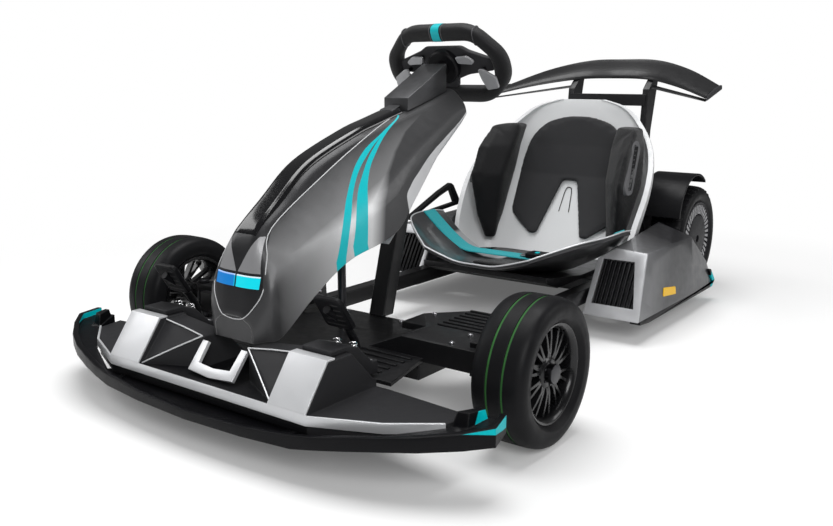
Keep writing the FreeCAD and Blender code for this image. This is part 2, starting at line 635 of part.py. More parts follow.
def spine_section(y):
    low_z = crest(y) + V["seat_gap"]
    return mirrored([(V["spine_half"] - 6, y, low_z + V["spine_rise"]), (V["spine_half"], y, low_z)])


spine_stations = [row[0] for row in NOSE[2:-2]] + [COVER_FRONT - 1]
piece("nose_spine", loft([spine_section(y) for y in spine_stations]))

# Column cover on the fairing's top, bored for the steering column
axis_rise = math.tan(math.radians(V["column_tilt"]))


def axis_height(y):
    """Height of the steering axis at a station."""
    return V["wheel_z"] + (y - V["wheel_y"]) * axis_rise


cover_rear = V["wheel_y"] - V["rim_depth"] - 14
cover_lines = [COVER_FRONT, NOSE[-2][0], cover_rear]
cover_outline = [(y, crest(y) + V["seat_gap"]) for y in cover_lines]
cover_outline += [(cover_rear, axis_height(cover_rear) + V["cover_height"]),
                  (COVER_FRONT, axis_height(COVER_FRONT) + V["cover_height"])]
cover = side_profile(cover_outline, -V["cover_half"], V["cover_half"])
down = FreeCAD.Vector(0, -math.cos(math.radians(V["column_tilt"])), -math.sin(math.radians(V["column_tilt"])))
wheel_centre = FreeCAD.Vector(0, V["wheel_y"], V["wheel_z"])
column_reach = V["rim_depth"] / 2 + 6 + V["column_length"]
cover = cover.cut(Part.makeCylinder(V["column_radius"] + V["turn_gap"], column_reach + 1, wheel_centre, down))
piece("column_cover", cover)


# Post from the pan up to the fairing
lean = math.tan(math.radians(V["post_lean"]))
base_y = V["post_y"] - V["post_depth"] / 2
half = V["post_width"] / 2
rise = 330
post = loft([
    [(-half, base_y, V["pan_top"]), (half, base_y, V["pan_top"]), (half, base_y + V["post_depth"], V["pan_top"]),
     (-half, base_y + V["post_depth"], V["pan_top"])],
    [(-half, base_y + lean * rise, V["pan_top"] + rise), (half, base_y + lean * rise, V["pan_top"] + rise),
     (half, base_y + lean * rise + V["post_depth"], V["pan_top"] + rise),
     (-half, base_y + lean * rise + V["post_depth"], V["pan_top"] + rise)]])
above = loft([[(x, y, z) for x, y, z in liner_section(row)[:2]] +
              [(-x, y, z) for x, y, z in reversed(liner_section(row)[:2])] for row in NOSE[5:]])
post = post.cut(above.fuse(box(-100, 100, -500, 0, 380, 600)))
post = sorted(post.Solids, key=lambda s: s.BoundBox.ZMin)[0]
piece("column_post", post)


# Steering wheel: flattened round-edged rim, hub with three spokes and four paddles, column
tilt = 90 - V["column_tilt"]
wheel_turn = (FreeCAD.Vector(1, 0, 0), -tilt)
rim_inner_w = S.steer_half_width - S.rim_width
rim_inner_h = S.steer_half_height - S.rim_width


def octagon(half_w, half_h, low_cut, high_cut):
    """Rectangle with its lower and upper corners cut off."""
    return [(-half_w, -half_h + low_cut), (-half_w + low_cut, -half_h), (half_w - low_cut, -half_h),
            (half_w, -half_h + low_cut), (half_w, half_h - high_cut), (half_w - high_cut, half_h),
            (-half_w + high_cut, half_h), (-half_w, half_h - high_cut)]


def upright_edge(edge, outside):
    """Whether an edge runs through the rim's depth, on its outer or its inner outline."""
    bounds = edge.BoundBox
    centre = bounds.Center
    beyond = abs(centre.x) > rim_inner_w.value + 1 or abs(centre.y) > rim_inner_h.value + 1
    return bounds.XLength < 0.01 and bounds.YLength < 0.01 and beyond == outside


body = new_body("steering_rim")
face = new_sketch(body, "rim_outline", "XY_Plane", -S.rim_depth / 2)
add_outline(face, octagon(S.steer_half_width, S.steer_half_height, S.rim_cut, S.rim_cut * 0.8))
add_outline(face, octagon(rim_inner_w, rim_inner_h, S.hole_cut, S.hole_cut * 0.7))
pad = feature(body, "Pad", "rim", face, S.rim_depth)
outer_bend = round_edges(body, "rim_outer_bends", S.rim_bend, pad, lambda e: upright_edge(e, True))
inner_bend = round_edges(body, "rim_inner_bends", S.hole_bend, outer_bend, lambda e: upright_edge(e, False))
round_edges(body, "rim_soft", S.rim_round, inner_bend, lambda e: e.BoundBox.ZLength < 1)
place(body, 0, S.wheel_y, S.wheel_z, wheel_turn)

body = new_body("steering_hub")
spoke_face = -S.rim_depth / 2 + 8
plate = new_sketch(body, "hub_outline", "XY_Plane", spoke_face)
add_outline(plate, [(-rim_inner_w, -8), (-52, -26), (-40, -34), (40, -34), (52, -26), (rim_inner_w, -8),
                    (rim_inner_w, 12), (46, 20), (18, 30), (14, rim_inner_h), (-14, rim_inner_h), (-18, 30), (-46, 20),
                    (-rim_inner_w, 12)])
feature(body, "Pad", "spokes", plate, 10)
boss = new_sketch(body, "hub_circle", "XY_Plane", -S.rim_depth / 2 - 6)
add_circle(boss, 0, 0, S.boss_radius)
feature(body, "Pad", "boss", boss, 30)
PADDLES = [
    # name, outline as (across, down) corners, post's near and far x, post's low and high y
    ("upper", [(36, -22), (60, -24), (74, -14), (70, -8), (40, -10)], 44, 52, -20, -12),
    ("lower", [(78, 2), (88, 2), (112, 17), (114, 38), (90, 42), (82, 22)], 79, 86, 4, 10),
]
for name, outline, near, far, low_y, high_y in PADDLES:
    for side_name, side in WHEELS:
        stem = new_sketch(body, "paddle_post_%s_%s" % (name, side_name), "XY_Plane", spoke_face + 1)
        add_outline(stem, [(side * near, low_y), (side * far, low_y), (side * far, high_y), (side * near, high_y)])
        feature(body, "Pad", "paddle_post_solid_%s_%s" % (name, side_name), stem, S.paddle_reach, reverse=True)
        leaf = new_sketch(body, "paddle_%s_%s" % (name, side_name), "XY_Plane", spoke_face + 1 - S.paddle_reach)
        add_outline(leaf, [(side * x, y) for x, y in outline])
        feature(body, "Pad", "paddle_solid_%s_%s" % (name, side_name), leaf, S.paddle_thick, reverse=True)
tube = new_sketch(body, "column_circle", "XY_Plane", -S.rim_depth / 2 - 5)
add_circle(tube, 0, 0, S.column_radius)
feature(body, "Pad", "column", tube, S.column_length + 1, reverse=True)
place(body, 0, S.wheel_y, S.wheel_z, wheel_turn)


# Seat: bucket shell, tray, base plate
SHELL = [
    # z, back y, back half width, side x, side y, tip x, tip y
    (100, 366, 140, 188, 336, 206, 262),
    (190, 408, 140, 204, 360, 218, 296),
    (280, 449, 140, 207, 402, 222, 352),
    (350, 468, 134, 182, 452, 198, 416),
    (405, 479, 104, 144, 474, 152, 460),
    (450, 486, 50, 76, 485, 84, 480),
]


def shell_ring(row, inset=0.0):
    """Cross section of the bucket's wall; inset moves the inner face towards the driver."""
    z, back, back_half, side_x, side_y, tip_x, tip_y = row
    wall = V["shell_wall"]
    inner = [(tip_x - inset, tip_y - inset, z), (side_x - inset, side_y - inset, z), (back_half, back - inset, z)]
    outer = [(back_half + wall * 0.4, back + wall, z), (side_x + wall * 0.9, side_y + wall * 0.8, z),
             (tip_x + wall, tip_y, z)]
    left_inner = [(-x, y, h) for x, y, h in reversed(inner)]
    left_outer = [(-x, y, h) for x, y, h in reversed(outer)]
    return inner + left_inner + left_outer + outer


piece("seat_shell", loft([shell_ring(row) for row in SHELL]))

TRAY = [
    # y, rim half width, rim z, knee half width, knee z, floor half width, floor z
    (20, 124, 160, 96, 150, 44, 136),
    (74, 195, 190, 150, 156, 60, 124),
    (127, 236, 202, 176, 158, 90, 117),
    (200, 242, 204, 182, 154, 110, 108),
    (250, 236, 198, 180, 148, 112, 108),
]


def tray_section(row):
    y, rim, rim_z, knee, knee_z, floor, floor_z = row
    wall = V["tray_wall"]
    upper = [(rim, y, rim_z), (knee, y, knee_z), (floor, y, floor_z)]
    lower = [(floor, y, floor_z - wall), (knee + 4, y, knee_z - wall), (rim + 2, y, rim_z - wall * 1.2)]
    return upper + [(-x, yy, z) for x, yy, z in reversed(upper)] + [(-x, yy, z) for x, yy, z in reversed(lower)] + lower


piece("seat_tray", loft([tray_section(row) for row in TRAY]))


def tray_at(y):
    """Tray measures between two stations."""
    for ahead, behind in zip(TRAY, TRAY[1:]):
        if ahead[0] <= y <= behind[0]:
            share = (y - ahead[0]) / (behind[0] - ahead[0])
            return [a + (b - a) * share for a, b in zip(ahead, behind)]
    raise ValueError("no tray at %s" % y)


base_front = 52
base_rear = 390
base_lines = [base_front] + [row[0] for row in TRAY[1:4]]
base_profile = [(y, tray_at(y)[6] - V["tray_wall"] - V["seat_gap"]) for y in base_lines]
base_profile += [(base_lines[-1], V["seat_low"]), (base_rear, V["seat_low"] - V["seat_gap"]),
                 (base_rear, V["base_low"]), (100, V["base_low"]), (base_front, V["seat_low"] + 10)]
piece("seat_base", side_profile(base_profile, -V["base_half"], V["base_half"]))


# Soft pads: back pad with its notch, bolsters, base pad, lap belt
def back_line(offset):
    return [(row[1] - offset, row[0]) for row in SHELL]


near = back_line(V["soft_gap"])
far = back_line(V["soft_gap"] + V["pad_thick"])
slab = side_profile(near + far[::-1], -200, 200)
outline = [(19, 0, 268), (58, 0, 142), (72, 0, 140), (134, 0, 186), (134, 0, 300), (128, 0, 345), (108, 0, 378),
           (84, 0, 403), (40, 0, 418)]
pad = slab.common(prism(mirrored(outline), (0, 700, 0)))
piece("back_pad", pad)

BOLSTER = [
    # z, inner x, inner y, outer x, outer y, rear outer x, rear outer y, rear inner x, rear inner y
    (124, 142, 332, 166, 322, 172, 330, 146, 344),
    (185, 142, 338, 181, 300, 194, 338, 148, 380),
    (281, 132, 345, 190, 282, 204, 382, 146, 430),
    (349, 124, 382, 190, 314, 186, 434, 142, 450),
    (401, 122, 410, 185, 372, 178, 440, 128, 462),
]


def bolster_section(row):
    z = row[0]
    xs = row[1::2]
    ys = row[2::2]
    return [(x, y, z) for x, y in zip(xs, ys)]


bolster = loft([bolster_section(row) for row in BOLSTER])
bolster = bolster.cut(loft([shell_ring(row, V["soft_gap"]) for row in SHELL]))
bolster = max(bolster.Solids, key=lambda s: s.Volume)
piece("seat_bolsters", Part.makeCompound([bolster, flip(bolster)]))

cushion_stations = (78, 127, 200, 248)
cushion_low = [(y, tray_at(y)[6] + V["soft_gap"]) for y in cushion_stations]
cushion_high = [(y, z + 6) for y, z in cushion_low]
piece("base_pad", side_profile(cushion_low + cushion_high[::-1], -42, 42))


def belt_section(y):
    """Strap that lies on the tray's flanks and spans the seat pad."""
    _, rim, rim_z, knee, knee_z, floor, floor_z = tray_at(y)
    lift = V["soft_gap"]
    thick = V["belt_thick"]
    end_x = rim - 4
    end_z = rim_z - 4 * (rim_z - knee_z) / (rim - knee)
    mid_z = floor_z + 15
    mid_x = floor + (knee - floor) * (mid_z - floor_z) / (knee_z - floor_z)
    low_line = [(end_x, end_z + lift), (knee, knee_z + lift), (mid_x, mid_z + lift)]
    right = [(x, y, z + thick) for x, z in low_line]
    below = [(x, y, z) for x, z in low_line]
    return right + [(-x, yy, z) for x, yy, z in reversed(right)] + [(-x, yy, z) for x, yy, z in below] + below[::-1]


belt_rear = V["belt_front"] + V["belt_width"]
piece("lap_belt", loft([belt_section(V["belt_front"]), belt_section(200), belt_section(belt_rear)]))
buckle_top = [(y, tray_at(y)[6] + 15 + V["soft_gap"] + V["belt_thick"]) for y in (V["belt_front"], 200, belt_rear)]
buckle_outline = [(y, z + 0.3) for y, z in buckle_top] + [(y, z + 12) for y, z in reversed(buckle_top)]
piece("belt_buckle", side_profile(buckle_outline, 26, 82))


# Pods either side of the rear wheels, with grilles and skirts
def pod_section(y, low_z, outer_low, outer_high, outer_z, crest_x, crest_z):
    inner = V["pod_inner"]
    return [(inner, y, low_z), (outer_low, y, low_z), (outer_high, y, outer_z), (crest_x, y, crest_z),
            (inner, y, crest_z - V["pod_dip"])]


POD = [
    # y, underside z, outer x low, outer x high, outer z, crest x, crest z
    (90, 47, 322, 302, 168, 236, 162),
    (V["rear_axle_y"] - 220, 47, 326, 312, 172, 238, 196),
    (V["rear_axle_y"] - 106, 47, 322, 312, 97, 264, 104),
    (V["rear_axle_y"] - 78, 47, 318, 312, 66, 264, 70),
]
arch_radius = V["rear_tyre_radius"] + V["arch_gap"]
wheel_outer = V["rear_track_half"] + V["rear_tyre_half"]
arch = Part.makeCylinder(arch_radius, 300, FreeCAD.Vector(0, V["rear_axle_y"], V["rear_tyre_radius"]),
                         FreeCAD.Vector(1, 0, 0))
far_back = V["rear_axle_y"] + 300
arch = arch.common(box(0, wheel_outer + 6, V["rear_axle_y"] - 223, far_back, 0, 400))
behind = box(0, wheel_outer + 6, V["rear_axle_y"] - 113, far_back, 0, 400)
seat_bay = box(0, V["pod_step"], 250, far_back, V["base_low"], 400)
pod = loft([pod_section(*row) for row in POD]).cut(arch).cut(behind).cut(seat_bay)
lean = math.radians(V["pod_lean"])
foot = FreeCAD.Vector(0, V["pod_front"], V["pod_low"])
climb = FreeCAD.Vector(0, math.sin(lean), math.cos(lean))
inward = FreeCAD.Vector(0, math.cos(lean), -math.sin(lean))
ahead_face = [foot - climb * 40, foot + climb * 300, foot + climb * 300 - inward * 300, foot - climb * 40 - inward * 300]
pod = pod.cut(prism([(100, p.y, p.z) for p in ahead_face], (300, 0, 0)))
MOUTH = [
    # x, way up the front face
    (217, 26), (306, 26), (284, 122), (217, 122),
]


def mouth_solid(start, end):
    """Grille opening between two depths behind the front face."""
    corners = [foot + climb * up + inward * start for _, up in MOUTH]
    shift = inward * (end - start)
    return prism([(x, p.y, p.z) for (x, _), p in zip(MOUTH, corners)], (shift.x, shift.y, shift.z))


pod = pod.cut(mouth_solid(-30, V["pod_recess"]))
pod = max(pod.Solids, key=lambda s: s.Volume)
piece("rear_pod_left", pod)
piece("rear_pod_right", flip(pod))
grille = mouth_solid(V["pod_recess"] - 3, V["pod_recess"])
slat_band = mouth_solid(2, V["pod_recess"] - 2)
slat_pitch = 10
slat_count = 9
for i in range(slat_count):
    at = MOUTH[0][0] + 4 + slat_pitch * i
    grille = grille.fuse(slat_band.common(box(at, at + slat_pitch / 2, 0, 400, 0, 400)))
grille = grille.removeSplitter()
piece("pod_grilles", Part.makeCompound([grille, flip(grille)]))

skirt_top = V["pod_low"]
skirt_low = skirt_top - V["skirt_depth"]
skirt_rear = V["rear_axle_y"] - 83
skirt_outline = [(114, skirt_top), (118, skirt_low + 4), (160, skirt_low), (skirt_rear, skirt_low),
                 (skirt_rear + 16, skirt_low + 14), (skirt_rear - 16, skirt_low + 44),
                 (skirt_rear - 24, skirt_low + 42), (skirt_rear + 6, skirt_top - 3), (skirt_rear, skirt_top)]
skirt = side_profile(skirt_outline, 300, 322)
skirt = skirt.cut(pod)
skirt = max(skirt.Solids, key=lambda s: s.Volume)
piece("rear_skirts", Part.makeCompound([skirt, flip(skirt)]))


# Power unit between the rear wheels, with the axle stubs
axle_y = V["rear_axle_y"]
axle_z = V["rear_tyre_radius"]
unit_low = V["rail_low"]
unit_step = V["rail_low"] + V["rail_height"]
unit_profile = [(V["rail_rear"], unit_low), (V["rail_rear"], unit_step), (axle_y - 231, unit_step),
                (axle_y - 218, unit_step + 28), (axle_y - 177, V["unit_top"]), (axle_y + 17, V["unit_top"]),
                (axle_y + V["unit_tail"], 150), (axle_y + V["unit_tail"], 70), (axle_y + V["unit_tail"] - 10, unit_low)]
unit = side_profile(unit_profile, -V["unit_half"], V["unit_half"])
reach = V["rear_track_half"] + V["rear_rim_half"] - 2
axle = Part.makeCylinder(V["stub_radius"], reach * 2, FreeCAD.Vector(-reach, axle_y, axle_z), FreeCAD.Vector(1, 0, 0))
pod_carriers = [box(side * V["unit_half"] if side > 0 else -V["pod_inner"],
                    V["pod_inner"] if side > 0 else -V["unit_half"], V["rail_rear"] + 14, axle_y - 153, unit_low,
                    unit_step + 8) for side in (1, -1)]
unit = unit.fuse([axle] + pod_carriers).removeSplitter()
piece("rear_unit", unit)


# Fenders over the rear wheels, each on a web that stands on the unit
FENDER = [
    # y behind the axle, z above the axle, y and z of the inner face from the outer one
    (-153, 69, 5, 0), (-86, 157, 2, -5), (9, 141, 0, -5),
]


def fender(side):
    outer = [FreeCAD.Vector(0, axle_y + y, axle_z + z) for y, z, _, _ in FENDER]
    inner = [FreeCAD.Vector(0, axle_y + y + dy, axle_z + z + dz) for y, z, dy, dz in FENDER]
    top_arc = Part.Arc(*outer).toShape()
    low_arc = Part.Arc(*inner).toShape()
    ends = [Part.makeLine(outer[-1], inner[-1]), Part.makeLine(inner[0], outer[0])]
    outline = Part.Wire(Part.__sortEdges__([top_arc, low_arc] + ends))
    band = Part.Face(outline).extrude(FreeCAD.Vector(wheel_outer + 6 - V["unit_half"], 0, 0))
    corners = [outer[-1], FreeCAD.Vector(0, axle_y - 11, axle_z + 23), FreeCAD.Vector(0, axle_y - 123, axle_z + 23),
               outer[0]]
    sides = [Part.makeLine(a, b) for a, b in zip(corners, corners[1:])]
    web = Part.Face(Part.Wire(Part.__sortEdges__([top_arc] + sides))).extrude(FreeCAD.Vector(V["web_thick"], 0, 0))
    band = band.fuse(web).removeSplitter()
    band.translate(FreeCAD.Vector(V["unit_half"], 0, 0))
    return band if side > 0 else flip(band)


piece("fenders", Part.makeCompound([fender(1), fender(-1)]))


# Rear wing with drooped ends, on two mounts with a cross bar and two slim lower blades
WING = [
    # x, lower front y behind the axle, z, upper rear y behind the axle, z
    (0, 32, 505, 91, 550),
    (94, 32, 503, 91, 548),
    (280, -91, 462, 3, 486),
]
BLADE = [
    # x, front y behind the axle, front z, rear y behind the axle, rear z
    (100, 20, 483, 42, 490),
    (277, -84, 455, -64, 459),
]


def blade_section(row, thick, step):
    """Wing section from its lower front to its upper rear edge; step sets the front's slope back."""
    x, front_y, front_z, rear_y, rear_z = row
    front_edge = FreeCAD.Vector(x, axle_y + front_y, front_z)
    rear_edge = FreeCAD.Vector(x, axle_y + rear_y, rear_z)
    run = (rear_edge - front_edge).normalize()
    up = FreeCAD.Vector(0, -run.z, run.y) * thick
    return [tuple(p) for p in (front_edge, rear_edge, rear_edge + up * 0.3, front_edge + up + run * step)]


wing_sections = [blade_section(row, V["wing_thick"], 12) for row in WING]
left = loft(wing_sections[:2]).fuse(loft(wing_sections[1:]))
wing = left.fuse(flip(left)).removeSplitter()
piece("wing", wing)
MOUNT = [
    # y behind the axle, z of the side outline
    (-23, 182), (17, 182), (29, 380), (67, 530), (37, 506.5), (27, 499), (5, 480), (-5, 380),
]
mount_outline = [(axle_y + y, max(z, V["unit_top"])) for y, z in MOUNT]
half_width = V["mount_width"] / 2
mount_side = side_profile(mount_outline, V["mount_x"] - half_width, V["mount_x"] + half_width)
blade = loft([blade_section(row, V["blade_thick"], 4) for row in BLADE])
mount_side = mount_side.fuse(blade)
bar = box(-V["mount_x"], V["mount_x"], axle_y - 1, axle_y + 11, 440, 468)
mount = mount_side.fuse([flip(mount_side), bar]).cut(wing).removeSplitter()
mount = max(mount.Solids, key=lambda s: s.Volume)
piece("wing_mount", mount)


# Pedals on their bases
pedal_line = [(-603, 215), (-591, 215), (-531, 122), (-543, 122)]
base_outline = [(-632, V["tower_top"]), (-600, V["tower_top"]), (-556, V["pan_top"] + 4), (-534, V["pan_top"] + 4),
                (-534, 121.7), (-546, 121.7), (-575, 150), (-600, 158), (-632, 158)]
pedal = side_profile(pedal_line, V["pedal_inner"], V["pedal_outer"])
piece("pedals", Part.makeCompound([pedal, flip(pedal)]))
base_block = side_profile(base_outline, V["pedal_inner"], V["pedal_outer"])
piece("pedal_bases", Part.makeCompound([base_block, flip(base_block)]))


# Hand lever beside the seat, on the kart's right
loop_outer = [(150, 184), (200, 188), (203, 173.4), (236, 176.3), (239, 191), (350, 200), (352, 206), (322, 250),
              (312, 256), (262, 240), (150, 196)]
loop_inner = [(170, 194), (330, 207), (310, 242), (265, 229)]
lever = side_profile(loop_outer, V["lever_x"] - V["lever_width"] / 2, V["lever_x"] + V["lever_width"] / 2)
lever = lever.cut(side_profile(loop_inner, V["lever_x"] - 20, V["lever_x"] + 20))
piece("hand_lever", lever)


# Check every object, then write one file for each sub-part
doc.recompute()
for item in doc.Objects:
    if "Invalid" in item.State or "Error" in item.State:
        raise RuntimeError("%s failed: %s" % (item.Name, item.State))
pieces = [item for item in doc.Objects if item.TypeId in ("PartDesign::Body", "Part::Feature")]
for item in pieces:
    if item.Shape.isNull() or not item.Shape.isValid() or not item.Shape.Solids:
        raise RuntimeError("%s has no valid solid" % item.Label)
os.makedirs("parts", exist_ok=True)
for item in pieces:
    item.Shape.exportStep("parts/%s.step" % item.Label)
    print(item.Label, len(item.Shape.Solids), round(item.Shape.Volume))
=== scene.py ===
import json
import logging
import math
from dataclasses import dataclass, field
from enum import Enum
from typing import Optional, Sequence

import bmesh
import bpy
from mathutils import Matrix, Vector
from mathutils.bvhtree import BVHTree


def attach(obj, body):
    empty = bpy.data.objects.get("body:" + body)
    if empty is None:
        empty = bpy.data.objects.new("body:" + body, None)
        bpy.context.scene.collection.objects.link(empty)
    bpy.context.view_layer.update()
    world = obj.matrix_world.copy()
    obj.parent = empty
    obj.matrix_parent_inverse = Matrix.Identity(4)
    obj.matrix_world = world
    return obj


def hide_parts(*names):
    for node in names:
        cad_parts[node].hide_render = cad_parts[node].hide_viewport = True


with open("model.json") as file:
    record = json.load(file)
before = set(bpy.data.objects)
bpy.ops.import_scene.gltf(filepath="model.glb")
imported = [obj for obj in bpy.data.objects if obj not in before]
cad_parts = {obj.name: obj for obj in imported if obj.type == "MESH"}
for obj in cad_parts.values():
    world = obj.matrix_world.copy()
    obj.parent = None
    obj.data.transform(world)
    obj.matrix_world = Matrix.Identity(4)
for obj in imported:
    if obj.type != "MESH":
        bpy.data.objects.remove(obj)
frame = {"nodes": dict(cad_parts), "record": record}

LOG = logging.getLogger("gokart")
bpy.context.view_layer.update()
FRAME_SHIFT = -14.0      # mm from the middle between the axles to the frame's origin, along Y
SIDES = ((1, "left"), (-1, "right"))
RECORD = frame["record"]
BODY_OF = {node: body for body, nodes in RECORD["behaviour"]["bodies"].items() for node in nodes}
Colour = tuple[float, float, float]
Socket = bpy.types.NodeSocket
Outline = Sequence[tuple[float, float]]
Point = tuple[float, float, float]


def at(x: float, y: float, z: float) -> Vector:
    """Point of the kart in metres.

    Args:
        x, y, z: millimetres from the ground point between the axles.

    Returns:
        The same point in the frame.
    """
    return Vector((x, y + FRAME_SHIFT, z)) / 1000


def mirrored(points: Sequence[Vector]) -> list[Vector]:
    """The points on the kart's other side, in reverse order."""
    return [Vector((-p.x, p.y, p.z)) for p in reversed(points)]


def linked(name: str, data: bpy.types.ID) -> bpy.types.Object:
    """New object of a mesh, lamp or camera, linked to the scene.

    Args:
        name: the object's name.
        data: the mesh, lamp or camera.

    Returns:
        The new object.
    """
    item = bpy.data.objects.new(name, data)
    bpy.context.scene.collection.objects.link(item)
    return item


class Turn(Enum):
    """Axis that a lathed piece turns about."""

    WHEEL = "x"
    UPRIGHT = "z"


# Node trees
class Maker:
    """Adds nodes to a tree."""

    def __init__(self, tree: bpy.types.NodeTree) -> None:
        """Keeps the tree."""
        self.tree = tree

    def node(self, kind: str, inputs: Optional[dict] = None, **settings: object) -> bpy.types.Node:
        """Adds a node.

        Args:
            kind: node type; a shader node's may leave its prefix out.
            inputs: value or socket for each input, by name or number.
            settings: properties of the node.

        Returns:
            The new node.
        """
        item = self.tree.nodes.new(kind if "Node" in kind else "ShaderNode" + kind)
        for name, value in settings.items():
            setattr(item, name, value)
        for name, value in (inputs or {}).items():
            self.feed(item.inputs[name], value)
        return item

    def feed(self, socket: Socket, value: object) -> None:
        """Links a socket or sets its value.

        Args:
            socket: the input.
            value: a socket or a plain value.
        """
        if isinstance(value, Socket):
            self.tree.links.new(value, socket)
        elif isinstance(value, tuple) and len(value) == 3 and socket.type == "RGBA":
            socket.default_value = (*value, 1.0)
        else:
            socket.default_value = value


class Graph(Maker):
    """Node tree of one material, with short calls for the usual nodes."""

    def __init__(self, name: str) -> None:
        """Starts a material with a Principled shader.

        Args:
            name: the material's name.
        """
        self.material = bpy.data.materials.new(name)
        self.material.use_nodes = True
        super().__init__(self.material.node_tree)
        self.shader = self.tree.nodes["Principled BSDF"]
        self.place = self.node("TexCoord").outputs["Object"]
        self.film: Optional[Socket] = None

    def calc(self, operation: str, a: object, b: object = 0.0, c: object = 0.0,
             clamp: bool = False) -> Socket:
        """One step of arithmetic on sockets or numbers.

        Args:
            operation: the Math node's operation.
            a, b, c: its inputs.
            clamp: keeps the result from 0 to 1.

        Returns:
            The result.
        """
        item = self.node("Math", operation=operation, use_clamp=clamp)
        for socket, value in zip(item.inputs, (a, b, c)):
            self.feed(socket, value)
        return item.outputs[0]

    def put(self, name: str, value: object) -> None:
        """Sets or links an input of the shader."""
        self.feed(self.shader.inputs[name], value)

    def times(self, a: object, b: object) -> Socket:
        """Product of two values."""
        return self.calc("MULTIPLY", a, b)

    def less(self, a: object, b: object) -> Socket:
        """First value without the second."""
        return self.calc("SUBTRACT", a, b)

    def curve(self, value: object, spots: Outline,
              smooth: bool = False) -> Socket:
        """Straight or smooth line through (input, output) spots, level beyond both ends.

        Args:
            value: where on the line.
            spots: the line's points.
            smooth: curved between the spots.

        Returns:
            The line's output.
        """
        low, high = min(a for a, _ in spots), max(a for a, _ in spots)
        least, most = min(b for _, b in spots), max(b for _, b in spots)
        item = self.node("FloatCurve", {"Value": self.band(value, low, high)})
        line = item.mapping.curves[0]
        shares = sorted(((a - low) / (high - low), (b - least) / (most - least)) for a, b in spots)
        while len(line.points) < len(shares):
            line.points.new(0.5, 0.5)
        for held, share in zip(line.points, shares):
            held.location = share
            held.handle_type = "AUTO_CLAMPED" if smooth else "VECTOR"
        item.mapping.update()
        return self.calc("MULTIPLY_ADD", item.outputs[0], most - least, least)

    def between(self, value: object, low: object, high: object,
                soft: float = 0.0004) -> Socket:
        """1 where a value lies between two others, with a soft edge.

        Args:
            value: the value.
            low, high: the limits.
            soft: width of the edge.

        Returns:
            The share from 0 to 1.
        """
        above = self.band(self.less(value, low), 0.0, soft)
        below = self.band(self.less(high, value), 0.0, soft)
        return self.calc("MINIMUM", above, below)

    def noise(self, scale: float, detail: float, stretch: Point = (1, 1, 1)) -> Socket:
        """Smooth noise with a number of waves per metre, which stretch scales along each axis.

        Args:
            scale: waves per metre.
            detail: finer layers.
            stretch: factor on each axis.

        Returns:
            The noise from 0 to 1.
        """
        mapped = self.node("Mapping", {"Vector": self.place, "Scale": stretch})
        item = self.node("TexNoise", {"Vector": mapped.outputs[0], "Scale": scale, "Detail": detail})
        return item.outputs["Fac"]

    def band(self, value: object, low: float, high: float) -> Socket:
        """Goes from 0 at low to 1 at high."""
        item = self.node("MapRange", {"Value": value, "From Min": low, "From Max": high})
        return item.outputs[0]

    def blend(self, share: object, first: object, second: object) -> Socket:
        """Colour between two colours.

        Args:
            share: 0 for the first, 1 for the second.
            first, second: the colours.

        Returns:
            The mixed colour.
        """
        item = self.node("Mix", data_type="RGBA")
        for socket, value in zip((item.inputs[0], item.inputs[6], item.inputs[7]), (share, first, second)):
            self.feed(socket, value)
        return item.outputs[2]

    def relief(self, height: object, depth: float, normal: Socket) -> Socket:
        """Bump of a depth in metres over another normal."""
        values = {"Height": height, "Distance": depth, "Strength": 1.0, "Normal": normal}
        return self.node("Bump", values).outputs[0]

    def axes(self) -> bpy.types.bpy_prop_collection:
        """X, Y and Z of the object's own coordinates."""
        return self.node("SeparateXYZ", {"Vector": self.place}).outputs

    def upward(self) -> Socket:
        """How far the face looks up: 1 straight up, 0 sideways."""
        normal = self.node("NewGeometry").outputs["Normal"]
        return self.node("SeparateXYZ", {"Vector": normal}).outputs[2]


# Finishes
def scaled(colour: Colour, factor: float) -> Colour:
    """A darker or lighter shade of a colour."""
    return tuple(min(1.0, c * factor) for c in colour)


